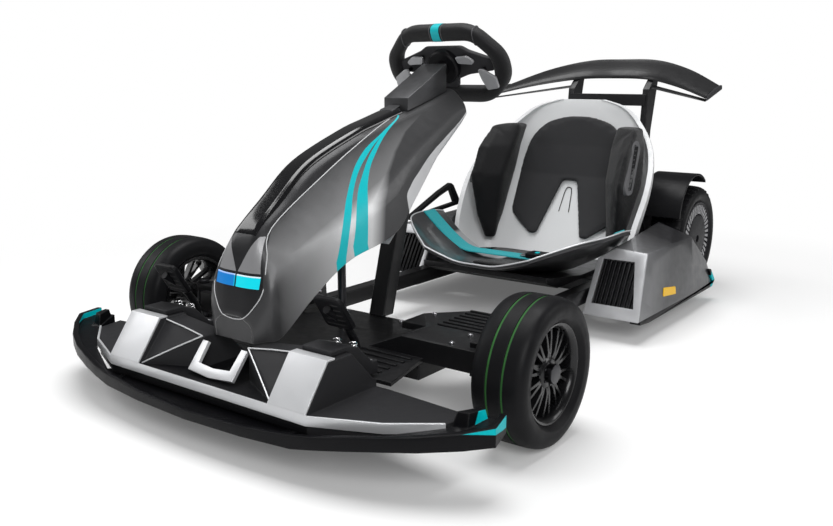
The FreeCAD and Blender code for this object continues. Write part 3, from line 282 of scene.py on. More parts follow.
@dataclass(frozen=True)
class Finish:
    """Surface of one kind of piece: colour, gloss, grain, softened edges and a painted highlight along them.

    Lengths are in metres; grain counts waves per metre.
    """

    name: str
    colour: Colour
    rough: float = 0.5
    metallic: float = 0.0
    coat: float = 0.0
    shade: float = 0.12
    grain: float = 900.0
    depth: float = 0.00004
    edge: float = 0.0012
    # strength of the painted highlight along edges
    edge_highlight: float = 0.25
    shine: float = 0.4

    def material(self) -> bpy.types.Material:
        """The finish as a material, made once.

        Returns:
            The material.
        """
        known = bpy.data.materials.get(self.name)
        if known:
            return known
        graph = Graph(self.name)
        corner = graph.node("Bevel", {"Radius": self.edge}, samples=4).outputs[0]
        face = graph.node("NewGeometry").outputs["Normal"]
        turn = graph.node("VectorMath", {0: corner, 1: face}, operation="DOT_PRODUCT").outputs["Value"]
        # mask of the edges, from the Bevel normal; it places the painted highlight
        edge = graph.band(turn, 0.995, 0.9)
        cloud = graph.noise(9.0, 3.0)
        dim, bright = (scaled(self.colour, 1 + sign * self.shade) for sign in (-1, 1))
        colour = self.pattern(graph, graph.blend(cloud, dim, bright))
        # painted highlight: the colour lightens along edges
        colour = graph.blend(graph.times(edge, self.edge_highlight), colour, self.edge_highlight_colour())
        graph.put("Base Color", colour)
        streak = graph.band(graph.noise(60.0, 4.0), 0.25, 0.75)
        rough = graph.calc("MULTIPLY_ADD", streak, 0.12, self.rough - 0.06)
        graph.put("Roughness", rough)
        metal, coat = self.metallic, self.coat
        if graph.film:
            bare = graph.less(1.0, graph.film)
            metal, coat = graph.times(bare, metal), graph.times(bare, coat)
        graph.put("Specular IOR Level", self.shine)
        graph.put("Metallic", metal)
        graph.put("Coat Weight", coat)
        graph.put("Coat Roughness", 0.08)
        self.dress(graph)
        graph.put("Normal", graph.relief(self.surface(graph), self.depth, corner))
        return graph.material

    def edge_highlight_colour(self) -> Colour:
        """Colour of the painted highlight along edges."""
        return tuple(min(1.0, c * 1.6 + 0.03) for c in self.colour)

    def pattern(self, graph: Graph, colour: Socket) -> Socket:
        """Colour with the finish's own pattern; plain finishes keep it."""
        return colour

    def surface(self, graph: Graph) -> Socket:
        """Height of the fine grain, from 0 to 1."""
        return graph.noise(self.grain, 3.0)

    def dress(self, graph: Graph) -> None:
        """Sets shader values that only this kind of finish has."""


@dataclass(frozen=True)
class FlakePaint(Finish):
    """Metallic paint with fine flakes under a clear coat."""

    metallic: float = 0.75
    coat: float = 0.35
    rough: float = 0.36
    flake: float = 5200.0

    def pattern(self, graph: Graph, colour: Socket) -> Socket:
        """Mixes in flakes of slightly different brightness.

        Args:
            graph: the material's nodes.
            colour: the plain colour.

        Returns:
            The colour with the pattern.
        """
        cell = graph.node("TexVoronoi", {"Vector": graph.place, "Scale": self.flake}).outputs["Color"]
        spark = graph.node("SeparateColor", {"Color": cell}).outputs[0]
        return graph.blend(graph.times(spark, 0.22), colour, scaled(self.colour, 1.7))

    def surface(self, graph: Graph) -> Socket:
        """Very slight orange peel."""
        return graph.noise(420.0, 2.0)


@dataclass(frozen=True)
class Moulded(Finish):
    """Spark-eroded plastic: fine even pits."""

    grain: float = 1500.0
    depth: float = 0.00006
    shine: float = 0.12

    def surface(self, graph: Graph) -> Socket:
        """Pits between small cells.

        Args:
            graph: the material's nodes.

        Returns:
            The grain's height.
        """
        cells = graph.node("TexVoronoi", {"Vector": graph.place, "Scale": self.grain})
        return graph.calc("ADD", cells.outputs["Distance"], graph.noise(self.grain * 0.4, 2.0))


@dataclass(frozen=True)
class Rubber(Finish):
    """Tyre rubber with a dull bloom and moulding marks."""

    rough: float = 0.55
    # painted highlight along the tyre's edges
    edge_highlight: float = 0.5
    shine: float = 0.13
    depth: float = 0.0001

    def pattern(self, graph: Graph, colour: Socket) -> Socket:
        """Adds a pale bloom in patches.

        Args:
            graph: the material's nodes.
            colour: the plain colour.

        Returns:
            The colour with the pattern.
        """
        bloom = graph.band(graph.noise(34.0, 5.0), 0.52, 0.78)
        return graph.blend(graph.times(bloom, 0.35), colour, scaled(self.colour, 2.6))


@dataclass(frozen=True)
class Hide(Finish):
    """Coated upholstery with a pebbled grain."""

    rough: float = 0.55
    shine: float = 0.16
    grain: float = 620.0
    depth: float = 0.0002
    edge: float = 0.003

    def surface(self, graph: Graph) -> Socket:
        """Rounded pebbles with creases between them.

        Args:
            graph: the material's nodes.

        Returns:
            The grain's height.
        """
        warp = graph.noise(90.0, 2.0)
        spot = graph.node("VectorMath", {0: graph.place, 1: warp}, operation="ADD").outputs[0]
        cells = graph.node("TexVoronoi", {"Vector": spot, "Scale": self.grain}, feature="SMOOTH_F1")
        cells.inputs["Smoothness"].default_value = 0.4
        return graph.less(1.0, cells.outputs["Distance"])

    def dress(self, graph: Graph) -> None:
        """Soft sheen of the coating."""
        graph.put("Sheen Weight", 0.15)
        graph.put("Sheen Roughness", 0.5)


@dataclass(frozen=True)
class Webbing(Finish):
    """Woven belt: ribs across the strap."""

    rough: float = 0.72
    depth: float = 0.0004
    pitch: float = 0.0022

    def surface(self, graph: Graph) -> Socket:
        """Crossed ribs of warp and weft, in the strap's own coordinates.

        Args:
            graph: the material's nodes.

        Returns:
            The weave's height.
        """
        uv = graph.node("UVMap", uv_map="weave").outputs[0]
        along, across, _ = graph.node("SeparateXYZ", {"Vector": uv}).outputs
        ridge = graph.calc("SINE", graph.times(along, math.tau / self.pitch))
        cross = graph.calc("SINE", graph.times(across, math.tau / self.pitch * 0.6))
        return graph.times(ridge, cross)

    def dress(self, graph: Graph) -> None:
        """Fibre sheen."""
        graph.put("Sheen Weight", 0.12)


@dataclass(frozen=True)
class Brushed(Finish):
    """Bare metal with fine drawn lines."""

    metallic: float = 1.0
    rough: float = 0.3
    stretch: Point = (1.0, 1.0, 30.0)

    def surface(self, graph: Graph) -> Socket:
        """Fine parallel scratches."""
        return graph.noise(500.0, 4.0, self.stretch)


@dataclass(frozen=True)
class Glow(Finish):
    """Lit lens that fades along its length."""

    centre: Colour = (0.0, 0.74, 0.86)
    ends: Colour = (0.0, 0.17, 0.60)
    power: float = 0.9

    def dress(self, graph: Graph) -> None:
        """Light from cyan on the kart's left to blue on its right.

        Args:
            graph: the material's nodes.
        """
        tint = graph.blend(graph.band(graph.axes()[0], 0.0, -0.004), self.centre, self.ends)
        graph.put("Emission Color", tint)
        graph.put("Emission Strength", self.power)


TEAL: Colour = (0.0, 0.48, 0.53)


def shifted(spots: Outline) -> list[tuple[float, float]]:
    """Spots of (height, station) in millimetres as metres in the frame."""
    return [(z / 1000, (y + FRAME_SHIFT) / 1000) for z, y in spots]


@dataclass(frozen=True)
class FairingPaint(FlakePaint):
    """Fairing paint: silver flanks that darken to the ends, with painted shade towards the tip and the hood
    and a painted highlight before the stripes; hood, facets and two teal stripes.
    """

    # dark: black of the hood and of the panel behind the stripes, and the painted shade towards the tip and
    # the hood's edge
    dark: Colour = (0.020, 0.020, 0.022)
    facet: Colour = (0.33, 0.33, 0.34)
    pale: Colour = (0.66, 0.665, 0.68)
    # gleam: painted highlight on the flank just before the stripes
    gleam: Colour = (0.62, 0.63, 0.65)
    # shares of the skin's length and of the way down its side over which the flank darkens with painted
    # shade
    tip: tuple = (0.52, 0.24)
    crest: tuple = (0.74, 0.46)
    crest_start: tuple = (0.04, 0.2)
    # distance behind the stripes over which it darkens to the dark panel, and reach of the painted highlight
    # before them, in metres
    rear: tuple = (0.008, 0.040)
    gleam_reach: float = 0.09
    # hood edge: height and half width
    hood: tuple = ((168, 0), (172, 22), (189, 40), (214, 51), (256, 45), (298, 33), (361, 39), (409, 33),
                   (448, 18), (500, 17))
    # facets on the hood: height and half width in metres
    facet_inner: tuple = ((0.236, 0.001), (0.288, 0.028))
    facet_outer: tuple = ((0.236, 0.0435), (0.288, 0.033))
    facet_level: tuple = (0.2365, 0.287)
    # front edge of the pale lining: height and station
    lining: tuple = ((290, -322), (318, -323), (338, -307), (359, -276), (381, -240), (407, -185),
                     (438, -122), (460, -90))
    # stripe edges: height and station
    stripes: tuple = (
        (((448, -257), (421, -322), (389, -385), (341, -439), (293, -476), (241, -499)),
         ((448, -256), (421, -316), (393, -366), (350, -420), (297, -459), (251, -478), (241, -481))),
        (((448, -258), (408, -340), (359, -402), (321, -436), (261, -464)),
         ((448, -255), (421, -311), (392, -353), (361, -387), (319, -415), (261, -432))),
    )

    def pattern(self, graph: Graph, colour: Socket) -> Socket:
        """Paints shade on the flanks and a highlight before the stripes, and lays the hood, the facets and
        the stripes over them.

        Args:
            graph: the material's nodes.
            colour: the plain colour.

        Returns:
            The colour with the pattern.
        """
        flakes = FlakePaint.pattern(self, graph, colour)
        x, y, z = graph.axes()
        side = graph.calc("ABSOLUTE", x)
        uv = graph.node("UVMap", uv_map="skin").outputs[0]
        along, across, _ = graph.node("SeparateXYZ", {"Vector": uv}).outputs
        # painted shade: the flank darkens towards the nose tip and up towards the hood
        tip = graph.band(along, *self.tip)
        crest = graph.times(graph.band(across, *self.crest), graph.band(along, *self.crest_start))
        rear_edge = graph.curve(z, shifted(self.stripes[1][1]))
        rear = graph.band(graph.less(y, rear_edge), *self.rear)
        # painted shade of the tip and crest, together with the dark panel behind the stripes
        dark = graph.calc("MAXIMUM", graph.calc("MAXIMUM", tip, crest), rear, clamp=True)
        shade = graph.blend(graph.times(dark, 0.94), flakes, self.dark)
        # painted highlight on the flank just before the stripes
        near = graph.between(y, graph.less(rear_edge, self.gleam_reach), rear_edge, 0.06)
        gleam = graph.times(graph.times(near, 0.5), graph.less(1.0, dark))
        shade = graph.blend(gleam, shade, self.gleam)
        open_side = graph.less(y, graph.curve(z, shifted(self.lining), True))
        shade = graph.blend(graph.band(open_side, 0.0, 0.0006), shade, self.pale)
        edge = graph.curve(z, [(height / 1000, half / 1000) for height, half in self.hood])
        inside = graph.band(graph.less(edge, side), 0.0, 0.0006)
        shade = graph.blend(inside, shade, self.dark)
        inner, outer = graph.curve(z, self.facet_inner), graph.curve(z, self.facet_outer)
        level = graph.between(z, *self.facet_level)
        shade = graph.blend(graph.times(graph.between(side, inner, outer), level), shade, self.facet)
        lanes = [graph.between(y, *(graph.curve(z, shifted(edge), True) for edge in stripe))
                 for stripe in self.stripes]
        film = graph.times(graph.calc("MAXIMUM", *lanes), graph.band(z, 0.449, 0.447))
        graph.film = graph.times(film, graph.less(1.0, inside))
        return graph.blend(graph.film, shade, TEAL)


@dataclass(frozen=True)
class DeckPlastic(Moulded):
    """Deck plastic: charcoal forms over a matte black floor."""

    floor: Colour = (0.006, 0.006, 0.007)
    level: float = 0.0885
    half: float = 0.2065

    def pattern(self, graph: Graph, colour: Socket) -> Socket:
        """Black up to the floor's level.

        Args:
            graph: the material's nodes.
            colour: the plain colour.

        Returns:
            The colour with the pattern.
        """
        x, _, z = graph.axes()
        side = graph.calc("ABSOLUTE", x)
        low = graph.times(graph.band(z, self.level + 0.0005, self.level),
                          graph.band(side, self.half + 0.001, self.half))
        return graph.blend(low, colour, self.floor)


@dataclass(frozen=True)
class BumperPlastic(Moulded):
    """Bumper plastic with a teal wedge on each end."""

    # station and height of the wedge's lower edge, and where the wedge starts
    lower: tuple = ((-0.652, 0.0945), (-0.590, 0.0875), (-0.575, 0.0875))
    half: float = 0.396

    def pattern(self, graph: Graph, colour: Socket) -> Socket:
        """Teal on the outer face's upper half, widening backwards.

        Args:
            graph: the material's nodes.
            colour: the plain colour.

        Returns:
            The colour with the pattern.
        """
        x, y, z = graph.axes()
        start = self.lower[0][0]
        above = graph.band(graph.less(z, graph.curve(y, self.lower)), 0.0, 0.0006)
        wedge = graph.times(above, graph.band(y, start, start + 0.0005))
        wedge = graph.times(wedge, graph.band(graph.upward(), 0.5, 0.45))
        end = graph.band(graph.calc("ABSOLUTE", x), self.half, self.half + 0.0005)
        graph.film = graph.times(wedge, end)
        return graph.blend(graph.film, colour, TEAL)


@dataclass(frozen=True)
class PodPaint(FlakePaint):
    """Pod paint: silver front frame, charcoal top, grey side that a painted highlight lightens towards the
    front.
    """

    front: Colour = (0.50, 0.505, 0.52)
    top: Colour = (0.030, 0.030, 0.033)
    # station and height of the front's foot in metres, and its lean in degrees
    foot: tuple = (0.103, 0.047)
    lean: float = 31.0

    def pattern(self, graph: Graph, colour: Socket) -> Socket:
        """Front within a few millimetres of its leaning plane, top where the face looks up, and a painted
        highlight on the side that fades back from the front.

        Args:
            graph: the material's nodes.
            colour: the plain colour.

        Returns:
            The colour with the pattern.
        """
        flakes = FlakePaint.pattern(self, graph, colour)
        _, y, z = graph.axes()
        lean = math.radians(self.lean)
        foot_y, foot_z = self.foot
        ahead = graph.times(graph.less(y, foot_y + FRAME_SHIFT / 1000), math.cos(lean))
        rise = graph.times(graph.less(z, foot_z), math.sin(lean))
        depth = graph.less(ahead, rise)
        shade = graph.blend(graph.band(graph.upward(), 0.35, 0.5), flakes, self.top)
        # painted highlight: the side lightens towards the silver front over 12 cm
        shade = graph.blend(graph.times(graph.band(depth, 0.12, 0.006), 0.35), shade, self.front)
        return graph.blend(graph.band(depth, 0.0046, 0.0040), shade, self.front)


@dataclass(frozen=True)
class SlatPlastic(Moulded):
    """Black slats with a pale painted highlight along their edges."""

    # strength of the painted highlight along the slats' edges
    edge_highlight: float = 0.9
    edge: float = 0.0009

    def edge_highlight_colour(self) -> Colour:
        """Pale grey of the painted highlight along the edges."""
        return (0.30, 0.30, 0.31)


@dataclass(frozen=True)
class TipPlastic(Moulded):
    """Skirt plastic with a teal tip at the back."""

    start: float = 0.515

    def pattern(self, graph: Graph, colour: Socket) -> Socket:
        """Teal behind a station."""
        graph.film = graph.band(graph.axes()[1], self.start, self.start + 0.0005)
        return graph.blend(graph.film, colour, TEAL)


@dataclass(frozen=True)
class TrayPaint(FlakePaint):
    """Tray paint: dark flanks and a silver floor behind the belt."""

    silver: Colour = (0.52, 0.53, 0.55)
    # station behind the belt and height between the flanks, in metres
    back: tuple = (0.196, 0.204)
    inner: tuple = (0.158, 0.152)

    def pattern(self, graph: Graph, colour: Socket) -> Socket:
        """Silver floor between the flanks.

        Args:
            graph: the material's nodes.
            colour: the plain colour.

        Returns:
            The colour with the pattern.
        """
        flakes = FlakePaint.pattern(self, graph, colour)
        _, y, z = graph.axes()
        floor = graph.times(graph.band(y, *self.back), graph.band(z, *self.inner))
        floor = graph.times(floor, graph.band(graph.upward(), 0.1, 0.2))
        return graph.blend(floor, flakes, self.silver)


class Finishes:
    """Every finish on the kart, each with its name, colour and what differs from its kind."""

    silver = FlakePaint("silver_paint", (0.66, 0.67, 0.69), rough=0.38, metallic=0.45, shade=0.05)
    shell_silver = FlakePaint("seat_shell_paint", (0.69, 0.70, 0.71), rough=0.5, metallic=0.1, shade=0.03,
                              coat=0.15)
    liner = FlakePaint("liner_paint", (0.66, 0.67, 0.69), rough=0.45, metallic=0.25, shade=0.04)
    pod = PodPaint("pod_paint", (0.040, 0.041, 0.045), rough=0.38, metallic=0.5)
    fairing = FairingPaint("fairing_paint", (0.62, 0.625, 0.635), rough=0.40, metallic=0.35, coat=0.12)
    cover_grey = FlakePaint("cover_paint", (0.085, 0.086, 0.09), rough=0.35)
    tray = TrayPaint("tray_paint", (0.055, 0.055, 0.058), rough=0.36, metallic=0.5)
    deck = DeckPlastic("charcoal_plastic", (0.026, 0.026, 0.028), rough=0.42, edge=0.002)
    charcoal = Moulded("hub_plastic", (0.040, 0.040, 0.043), rough=0.42)
    paddle = FlakePaint("paddle_grey", (0.42, 0.425, 0.44), rough=0.4, metallic=0.5)
    black = Moulded("black_plastic", (0.007, 0.007, 0.008), rough=0.36)
    bumper = BumperPlastic("bumper_plastic", (0.004, 0.004, 0.005), rough=0.34, edge=0.0025)
    slat = SlatPlastic("slat_plastic", (0.006, 0.006, 0.007), rough=0.36)
    skirt = TipPlastic("skirt_plastic", (0.006, 0.006, 0.007), rough=0.4)
    gloss = Finish("black_lacquer", (0.004, 0.004, 0.005), rough=0.14, coat=0.6, depth=0.00001)
    frame_paint = Finish("frame_powder_coat", (0.008, 0.008, 0.009), rough=0.38, metallic=0.2, grain=1300.0)
    tyre = Rubber("tyre_rubber", (0.007, 0.007, 0.008), rough=0.45)
    groove = Rubber("groove_tint", (0.035, 0.13, 0.035), rough=0.6, edge_highlight=0.0)
    rim = Finish("rim_enamel", (0.008, 0.008, 0.009), rough=0.28, metallic=0.4, coat=0.3)
    disc = Moulded("disc_cover", (0.014, 0.014, 0.016), rough=0.4)
    vent = Finish("vent_grey", (0.30, 0.30, 0.31), rough=0.35, metallic=0.5)
    steel = Brushed("drawn_steel", (0.55, 0.55, 0.57))
    dark_steel = Brushed("blackened_steel", (0.06, 0.06, 0.065), rough=0.34)
    chrome = Brushed("bright_chrome", (0.85, 0.85, 0.87), rough=0.12, depth=0.00001)
    grip = Hide("grip_cover", (0.010, 0.010, 0.011), rough=0.46, grain=1200.0, depth=0.0001)
    pad_dark = Hide("back_pad_cover", (0.028, 0.028, 0.030), rough=0.62, grain=900.0, depth=0.0001)
    pad_black = Hide("bolster_cover", (0.006, 0.006, 0.007), rough=0.48)
    louvre = Moulded("louvre_grey", (0.12, 0.12, 0.125), rough=0.4)
    strap = Webbing("belt_web", (0.0, 0.33, 0.37))
    teal = Finish("teal_film", TEAL, rough=0.4, edge=0.0004, edge_highlight=0.0, depth=0.00001)
    yellow = Finish("reflector_yellow", (0.95, 0.53, 0.0), rough=0.4, coat=0.1, edge_highlight=0.0)
    pin_line = Finish("pin_line", (0.62, 0.63, 0.64), rough=0.35, edge=0.0003, edge_highlight=0.0)
    seam = Finish("seam_thread", (0.09, 0.09, 0.095), rough=0.6, edge=0.0003, edge_highlight=0.0)
    light = Glow("lamp_glow", (0.0, 0.06, 0.09), rough=0.4, edge_highlight=0.0)
    lens_edge = Glow("lamp_edge_glow", (0.2, 0.25, 0.3), rough=0.4, power=0.8, centre=(0.8, 0.95, 1.0),
                     ends=(0.3, 0.5, 1.0))
    carbon = Finish("wing_enamel", (0.007, 0.007, 0.008), rough=0.42, coat=0.1, edge=0.0004, edge_highlight=0.0)


# Mesh building
def tidy(mesh: bpy.types.Mesh) -> None:
    """Merges doubles and turns the faces outwards.

    Args:
        mesh: the mesh that changes.
    """
    work = bmesh.new()
    work.from_mesh(mesh)
    bmesh.ops.remove_doubles(work, verts=work.verts, dist=1e-6)
    bmesh.ops.recalc_face_normals(work, faces=work.faces)
    work.to_mesh(mesh)
    work.free()


@dataclass
class Shape:
    """Corners and faces that grow piece by piece."""

    corners: list = field(default_factory=list)
    faces: list = field(default_factory=list)

    def add(self, corners: Sequence[Sequence[float]], faces: Sequence[Sequence[int]]) -> None:
        """Adds a closed form.

        Args:
            corners: its points in metres.
            faces: corner numbers of each face.
        """
        start = len(self.corners)
        self.corners += [Vector(c) for c in corners]
        self.faces += [tuple(i + start for i in f) for f in faces]

    def loft(self, sections: Sequence[Sequence[Vector]], ring: bool = False) -> None:
        """Joins closed outlines of as many points each.

        Args:
            sections: the outlines.
            ring: the last outline joins the first; otherwise both are filled.
        """
        count = len(sections[0])
        corners = [p for row in sections for p in row]
        faces = []
        rows = len(sections)
        for i in range(rows if ring else rows - 1):
            for j in range(count):
                a, b = i * count + j, i * count + (j + 1) % count
                c, d = ((i + 1) % rows) * count + (j + 1) % count, ((i + 1) % rows) * count + j
                faces.append((a, b, c, d))
        if not ring:
            faces.append(tuple(range(count)))
            faces.append(tuple(reversed(range((rows - 1) * count, rows * count))))
        self.add(corners, faces)

    def lathe(self, profile: Outline, centre: Vector, steps: int,
              turn: Turn = Turn.WHEEL) -> None:
        """Turns a closed profile of (along, radius) about an axis through a centre.

        Args:
            profile: the outline in metres.
            centre: a point on the axis.
            steps: sections of a full turn.
            turn: the axis.
        """
        sections = []
        for k in range(steps):
            angle = math.tau * k / steps
            ring = []
            for along, radius in profile:
                if turn is Turn.WHEEL:
                    ring.append(centre + Vector((along, radius * math.cos(angle), radius * math.sin(angle))))
                else:
                    ring.append(centre + Vector((radius * math.cos(angle), radius * math.sin(angle), along)))
            sections.append(ring)
        self.loft(sections, ring=True)

    def tube(self, points: Sequence[Vector], radius: float, sides: int) -> None:
        """Round bar along a path, with flat ends.

        Args:
            points: the path.
            radius: the bar's radius in metres.
            sides: corners of its section.
        """
        rows = []
        side = None
        for i, point in enumerate(points):
            ahead = (points[min(i + 1, len(points) - 1)] - points[max(i - 1, 0)]).normalized()
            if side is None:
                side = ahead.orthogonal().normalized()
            side = (side - ahead * side.dot(ahead)).normalized()
            up = ahead.cross(side)
            angles = [math.tau * k / sides for k in range(sides)]
            rows.append([point + (side * math.cos(a) + up * math.sin(a)) * radius for a in angles])
        self.loft(rows)

    def block(self, outline: Sequence[Vector], depth: Vector) -> None:
        """Plate with a flat outline and a thickness."""
        self.loft([list(outline), [p + depth for p in outline]])

    def mesh(self, name: str) -> bpy.types.Mesh:
        """The form as a mesh without doubles, its faces outwards.

        Args:
            name: the mesh's name.

        Returns:
            The new mesh.
        """
        mesh = bpy.data.meshes.new(name)
        mesh.from_pydata([tuple(c) for c in self.corners], [], self.faces)
        tidy(mesh)
        return mesh

    def piece(self, name: str, finish: Finish, body: str = "chassis", bevel: float = 0.0,
              smooth: float = 32.0, steps: int = 2) -> bpy.types.Object:
        """Turns the form into a piece at the origin, with softened edges.

        Args:
            name, finish, body: the piece's name, its surface and the body that it rides on.
            bevel: width of its edge rounding in metres.
            smooth: without a bevel, the largest angle in degrees between faces that shade as one.
            steps: segments of each rounding.

        Returns:
            The new object.
        """
        mesh = self.mesh(name)
        mesh.shade_smooth()
        if not bevel:
            mesh.set_sharp_from_angle(angle=math.radians(smooth))
        mesh.materials.append(finish.material())
        made = linked(name, mesh)
        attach(made, body)
        if bevel:
            bevel_edges(made, bevel, steps)
        LOG.info("made %s", name)
        return made


def bevel_edges(piece: bpy.types.Object, width: float, steps: int) -> None:
    """Rounds a piece's edges and keeps its faces flat.

    Args:
        piece: the piece.
        width: rounding in metres.
        steps: segments of each rounding.
    """
    soft = piece.modifiers.new("edges", "BEVEL")
    soft.width = width
    soft.segments = steps
    soft.limit_method = "ANGLE"
    soft.angle_limit = math.radians(24)
    soft.harden_normals = True


def merged_copy(node: str) -> bmesh.types.BMesh:
    """A CAD node's form with shared corners and flat faces in one piece.

    Args:
        node: the node.

    Returns:
        A working copy, which the caller frees.
    """
    work = bmesh.new()
    work.from_mesh(frame["nodes"][node].data)
    bmesh.ops.remove_doubles(work, verts=work.verts, dist=1e-5)
    bmesh.ops.recalc_face_normals(work, faces=work.faces)
    return work


def soften(node: str, finish: Finish, width: float, steps: int = 3) -> bpy.types.Object:
    """Dresses a CAD node with its own form, edges rounded.

    Args:
        node: the node.
        finish: its surface.
        width: edge rounding in millimetres.
        steps: segments of each rounding.

    Returns:
        The piece that shows in the node's place.
    """
    work = merged_copy(node)
    bmesh.ops.dissolve_limit(work, angle_limit=math.radians(0.4), verts=work.verts, edges=work.edges)
    mesh = bpy.data.meshes.new(node + "_soft")
    work.to_mesh(mesh)
    work.free()
    mesh.shade_smooth()
    mesh.materials.append(finish.material())
    piece = linked(node + "_soft", mesh)
    bevel_edges(piece, width / 1000, steps)
    settle(piece, node)
    LOG.info("made %s", piece.name)
    return piece


def settle(piece: bpy.types.Object, node: str) -> None:
    """Lets a piece stand for a CAD node: same body, same slot.

    Args:
        piece: the piece.
        node: the node.
    """
    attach(piece, BODY_OF[node])
    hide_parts(node)


def spline(rows: Sequence[Sequence[float]], steps: int) -> list[list[float]]:
    """Smooth rows between given rows.

    Args:
        rows: measures at each station.
        steps: rows made between two stations.

    Returns:
        The dense rows, which pass through the given ones.
    """
    dense = []
    for i in range(len(rows) - 1):
        before, start = rows[max(i - 1, 0)], rows[i]
        end, after = rows[i + 1], rows[min(i + 2, len(rows) - 1)]
        for k in range(steps):
            t = k / steps
            dense.append([start[j] + 0.5 * t * (end[j] - before[j]
                          + t * (2 * before[j] - 5 * start[j] + 4 * end[j] - after[j]
                                 + t * (3 * (start[j] - end[j]) + after[j] - before[j])))
                          for j in range(len(start))])
    dense.append(list(rows[-1]))
    return dense


def corner_arc(before: Vector, corner: Vector, after: Vector, radius: float,
               steps: int) -> list[Vector]:
    """Curve that cuts a corner.

    Args:
        before, corner, after: the corner and its neighbours.
        radius: how far from the corner the curve starts, at most 45 % of either side.
        steps: pieces of the curve.

    Returns:
        The curve's points, both ends among them.
    """
    to_before, to_after = before - corner, after - corner
    reach = min(radius, to_before.length * 0.45, to_after.length * 0.45)
    start = corner + to_before.normalized() * reach
    end = corner + to_after.normalized() * reach
    shares = [k / steps for k in range(steps + 1)]
    return [start * (1 - t) ** 2 + corner * 2 * t * (1 - t) + end * t ** 2 for t in shares]


def arc_line(points: Sequence[Vector], radius: float, steps: int) -> list[Vector]:
    """Open path whose inner corners are rounded.

    Args:
        points: the path's corners.
        radius: reach of each rounding.
        steps: pieces of each rounding.

    Returns:
        The rounded path.
    """
    path = [points[0]]
    for before, corner, after in zip(points, points[1:], points[2:]):
        path += corner_arc(before, corner, after, radius, steps)
    return path + [points[-1]]


def round_outline(points: Outline, radius: float | Sequence[float],
                  steps: int = 3) -> list[tuple[float, float]]:
    """Closed flat outline with rounded corners, all alike or each with its own reach.

    Args:
        points: the outline's corners.
        radius: reach of each rounding, or one for each corner.
        steps: pieces of each rounding.

    Returns:
        The rounded outline.
    """
    count = len(points)
    reaches = [radius] * count if isinstance(radius, (int, float)) else radius
    soft = []
    for i, reach in enumerate(reaches):
        before, corner, after = (Vector(points[(i + k) % count]) for k in (-1, 0, 1))
        soft += [tuple(p) for p in corner_arc(before, corner, after, reach, steps)]
    return soft


def surface_of(node: str) -> BVHTree:
    """Search tree over a CAD node's faces."""
    return tree_of(frame["nodes"][node])


def tree_of(thing: bpy.types.Object) -> BVHTree:
    """Search tree over an object's faces.

    Args:
        thing: the object.

    Returns:
        The tree, in the object's coordinates.
    """
    thing.data.calc_loop_triangles()
    return BVHTree.FromPolygons([v.co.copy() for v in thing.data.vertices],
                                [tuple(t.vertices) for t in thing.data.loop_triangles])


def baked(thing: bpy.types.Object) -> bpy.types.Mesh:
    """Mesh of an object with its modifiers worked in; the modifiers go.

    Args:
        thing: the object.

    Returns:
        The new mesh.
    """
    bpy.context.view_layer.update()
    graph = bpy.context.evaluated_depsgraph_get()
    mesh = bpy.data.meshes.new_from_object(thing.evaluated_get(graph))
    thing.modifiers.clear()
    return mesh


# Copies by Geometry Nodes
def radial_copies(name: str, form: Shape, centre: Vector, count: int, finish: Finish,
                  body: str) -> bpy.types.Object:
    """Repeats a form round a wheel's axle.

    Args:
        name, finish, body: the piece's name, its surface and the body that it rides on.
        form: the form at the top of the wheel, with the axle through the origin along X.
        centre: the wheel's centre.
        count: how many copies.

    Returns:
        The joined copies as one plain mesh.
    """
    holder = linked(name + "_holder", form.mesh(name + "_one"))
    return copied(holder, radial_tree(), {"Count": count, "Centre": tuple(centre)}, name, finish, body)


def placed_copies(name: str, form: Shape, spots: Sequence[tuple[Vector, Vector]], finish: Finish,
                  body: str) -> bpy.types.Object:
    """Sets a form on each spot, its Z axis along the spot's direction.

    Args:
        name, finish, body: the piece's name, its surface and the body that it rides on.
        form: the form, which stands up along Z from the origin.
        spots: place and direction of each copy.

    Returns:
        The joined copies as one plain mesh.
    """
    points = bpy.data.meshes.new(name + "_spots")
    points.from_pydata([tuple(place) for place, _ in spots], [], [])
    facing = points.attributes.new("facing", "FLOAT_VECTOR", "POINT")
    for held, (_, direction) in zip(facing.data, spots):
        held.vector = direction
    holder = linked(name + "_holder", points)
    one = linked(name + "_form", form.mesh(name + "_one"))
    made = copied(holder, placed_tree(), {"Form": one}, name, finish, body)
    bpy.data.objects.remove(one)
    return made


def copied(holder: bpy.types.Object, tree: bpy.types.NodeTree, values: dict, name: str, finish: Finish,
           body: str) -> bpy.types.Object:
    """Turns a holder and a tree of copies into a plain piece.

    Args:
        holder: the object that the tree works on, removed afterwards.
        tree: the Geometry Nodes tree.
        values: the tree's inputs by name, apart from the finish.
        name, finish, body: the piece's name, its surface and the body that it rides on.

    Returns:
        The new piece.
    """
    modifier = holder.modifiers.new("copies", "NODES")
    modifier.node_group = tree
    inputs = {item.name: item.identifier for item in tree.interface.items_tree if item.in_out == "INPUT"}
    for key, value in {**values, "Finish": finish.material()}.items():
        modifier[inputs[key]] = value
    mesh = baked(holder)
    bpy.data.objects.remove(holder)
    mesh.name = name
    tidy(mesh)
    if not mesh.materials:
        mesh.materials.append(finish.material())
    mesh.shade_smooth()
    mesh.set_sharp_from_angle(angle=math.radians(30))
    piece = linked(name, mesh)
    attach(piece, body)
    LOG.info("made %s", name)
    return piece


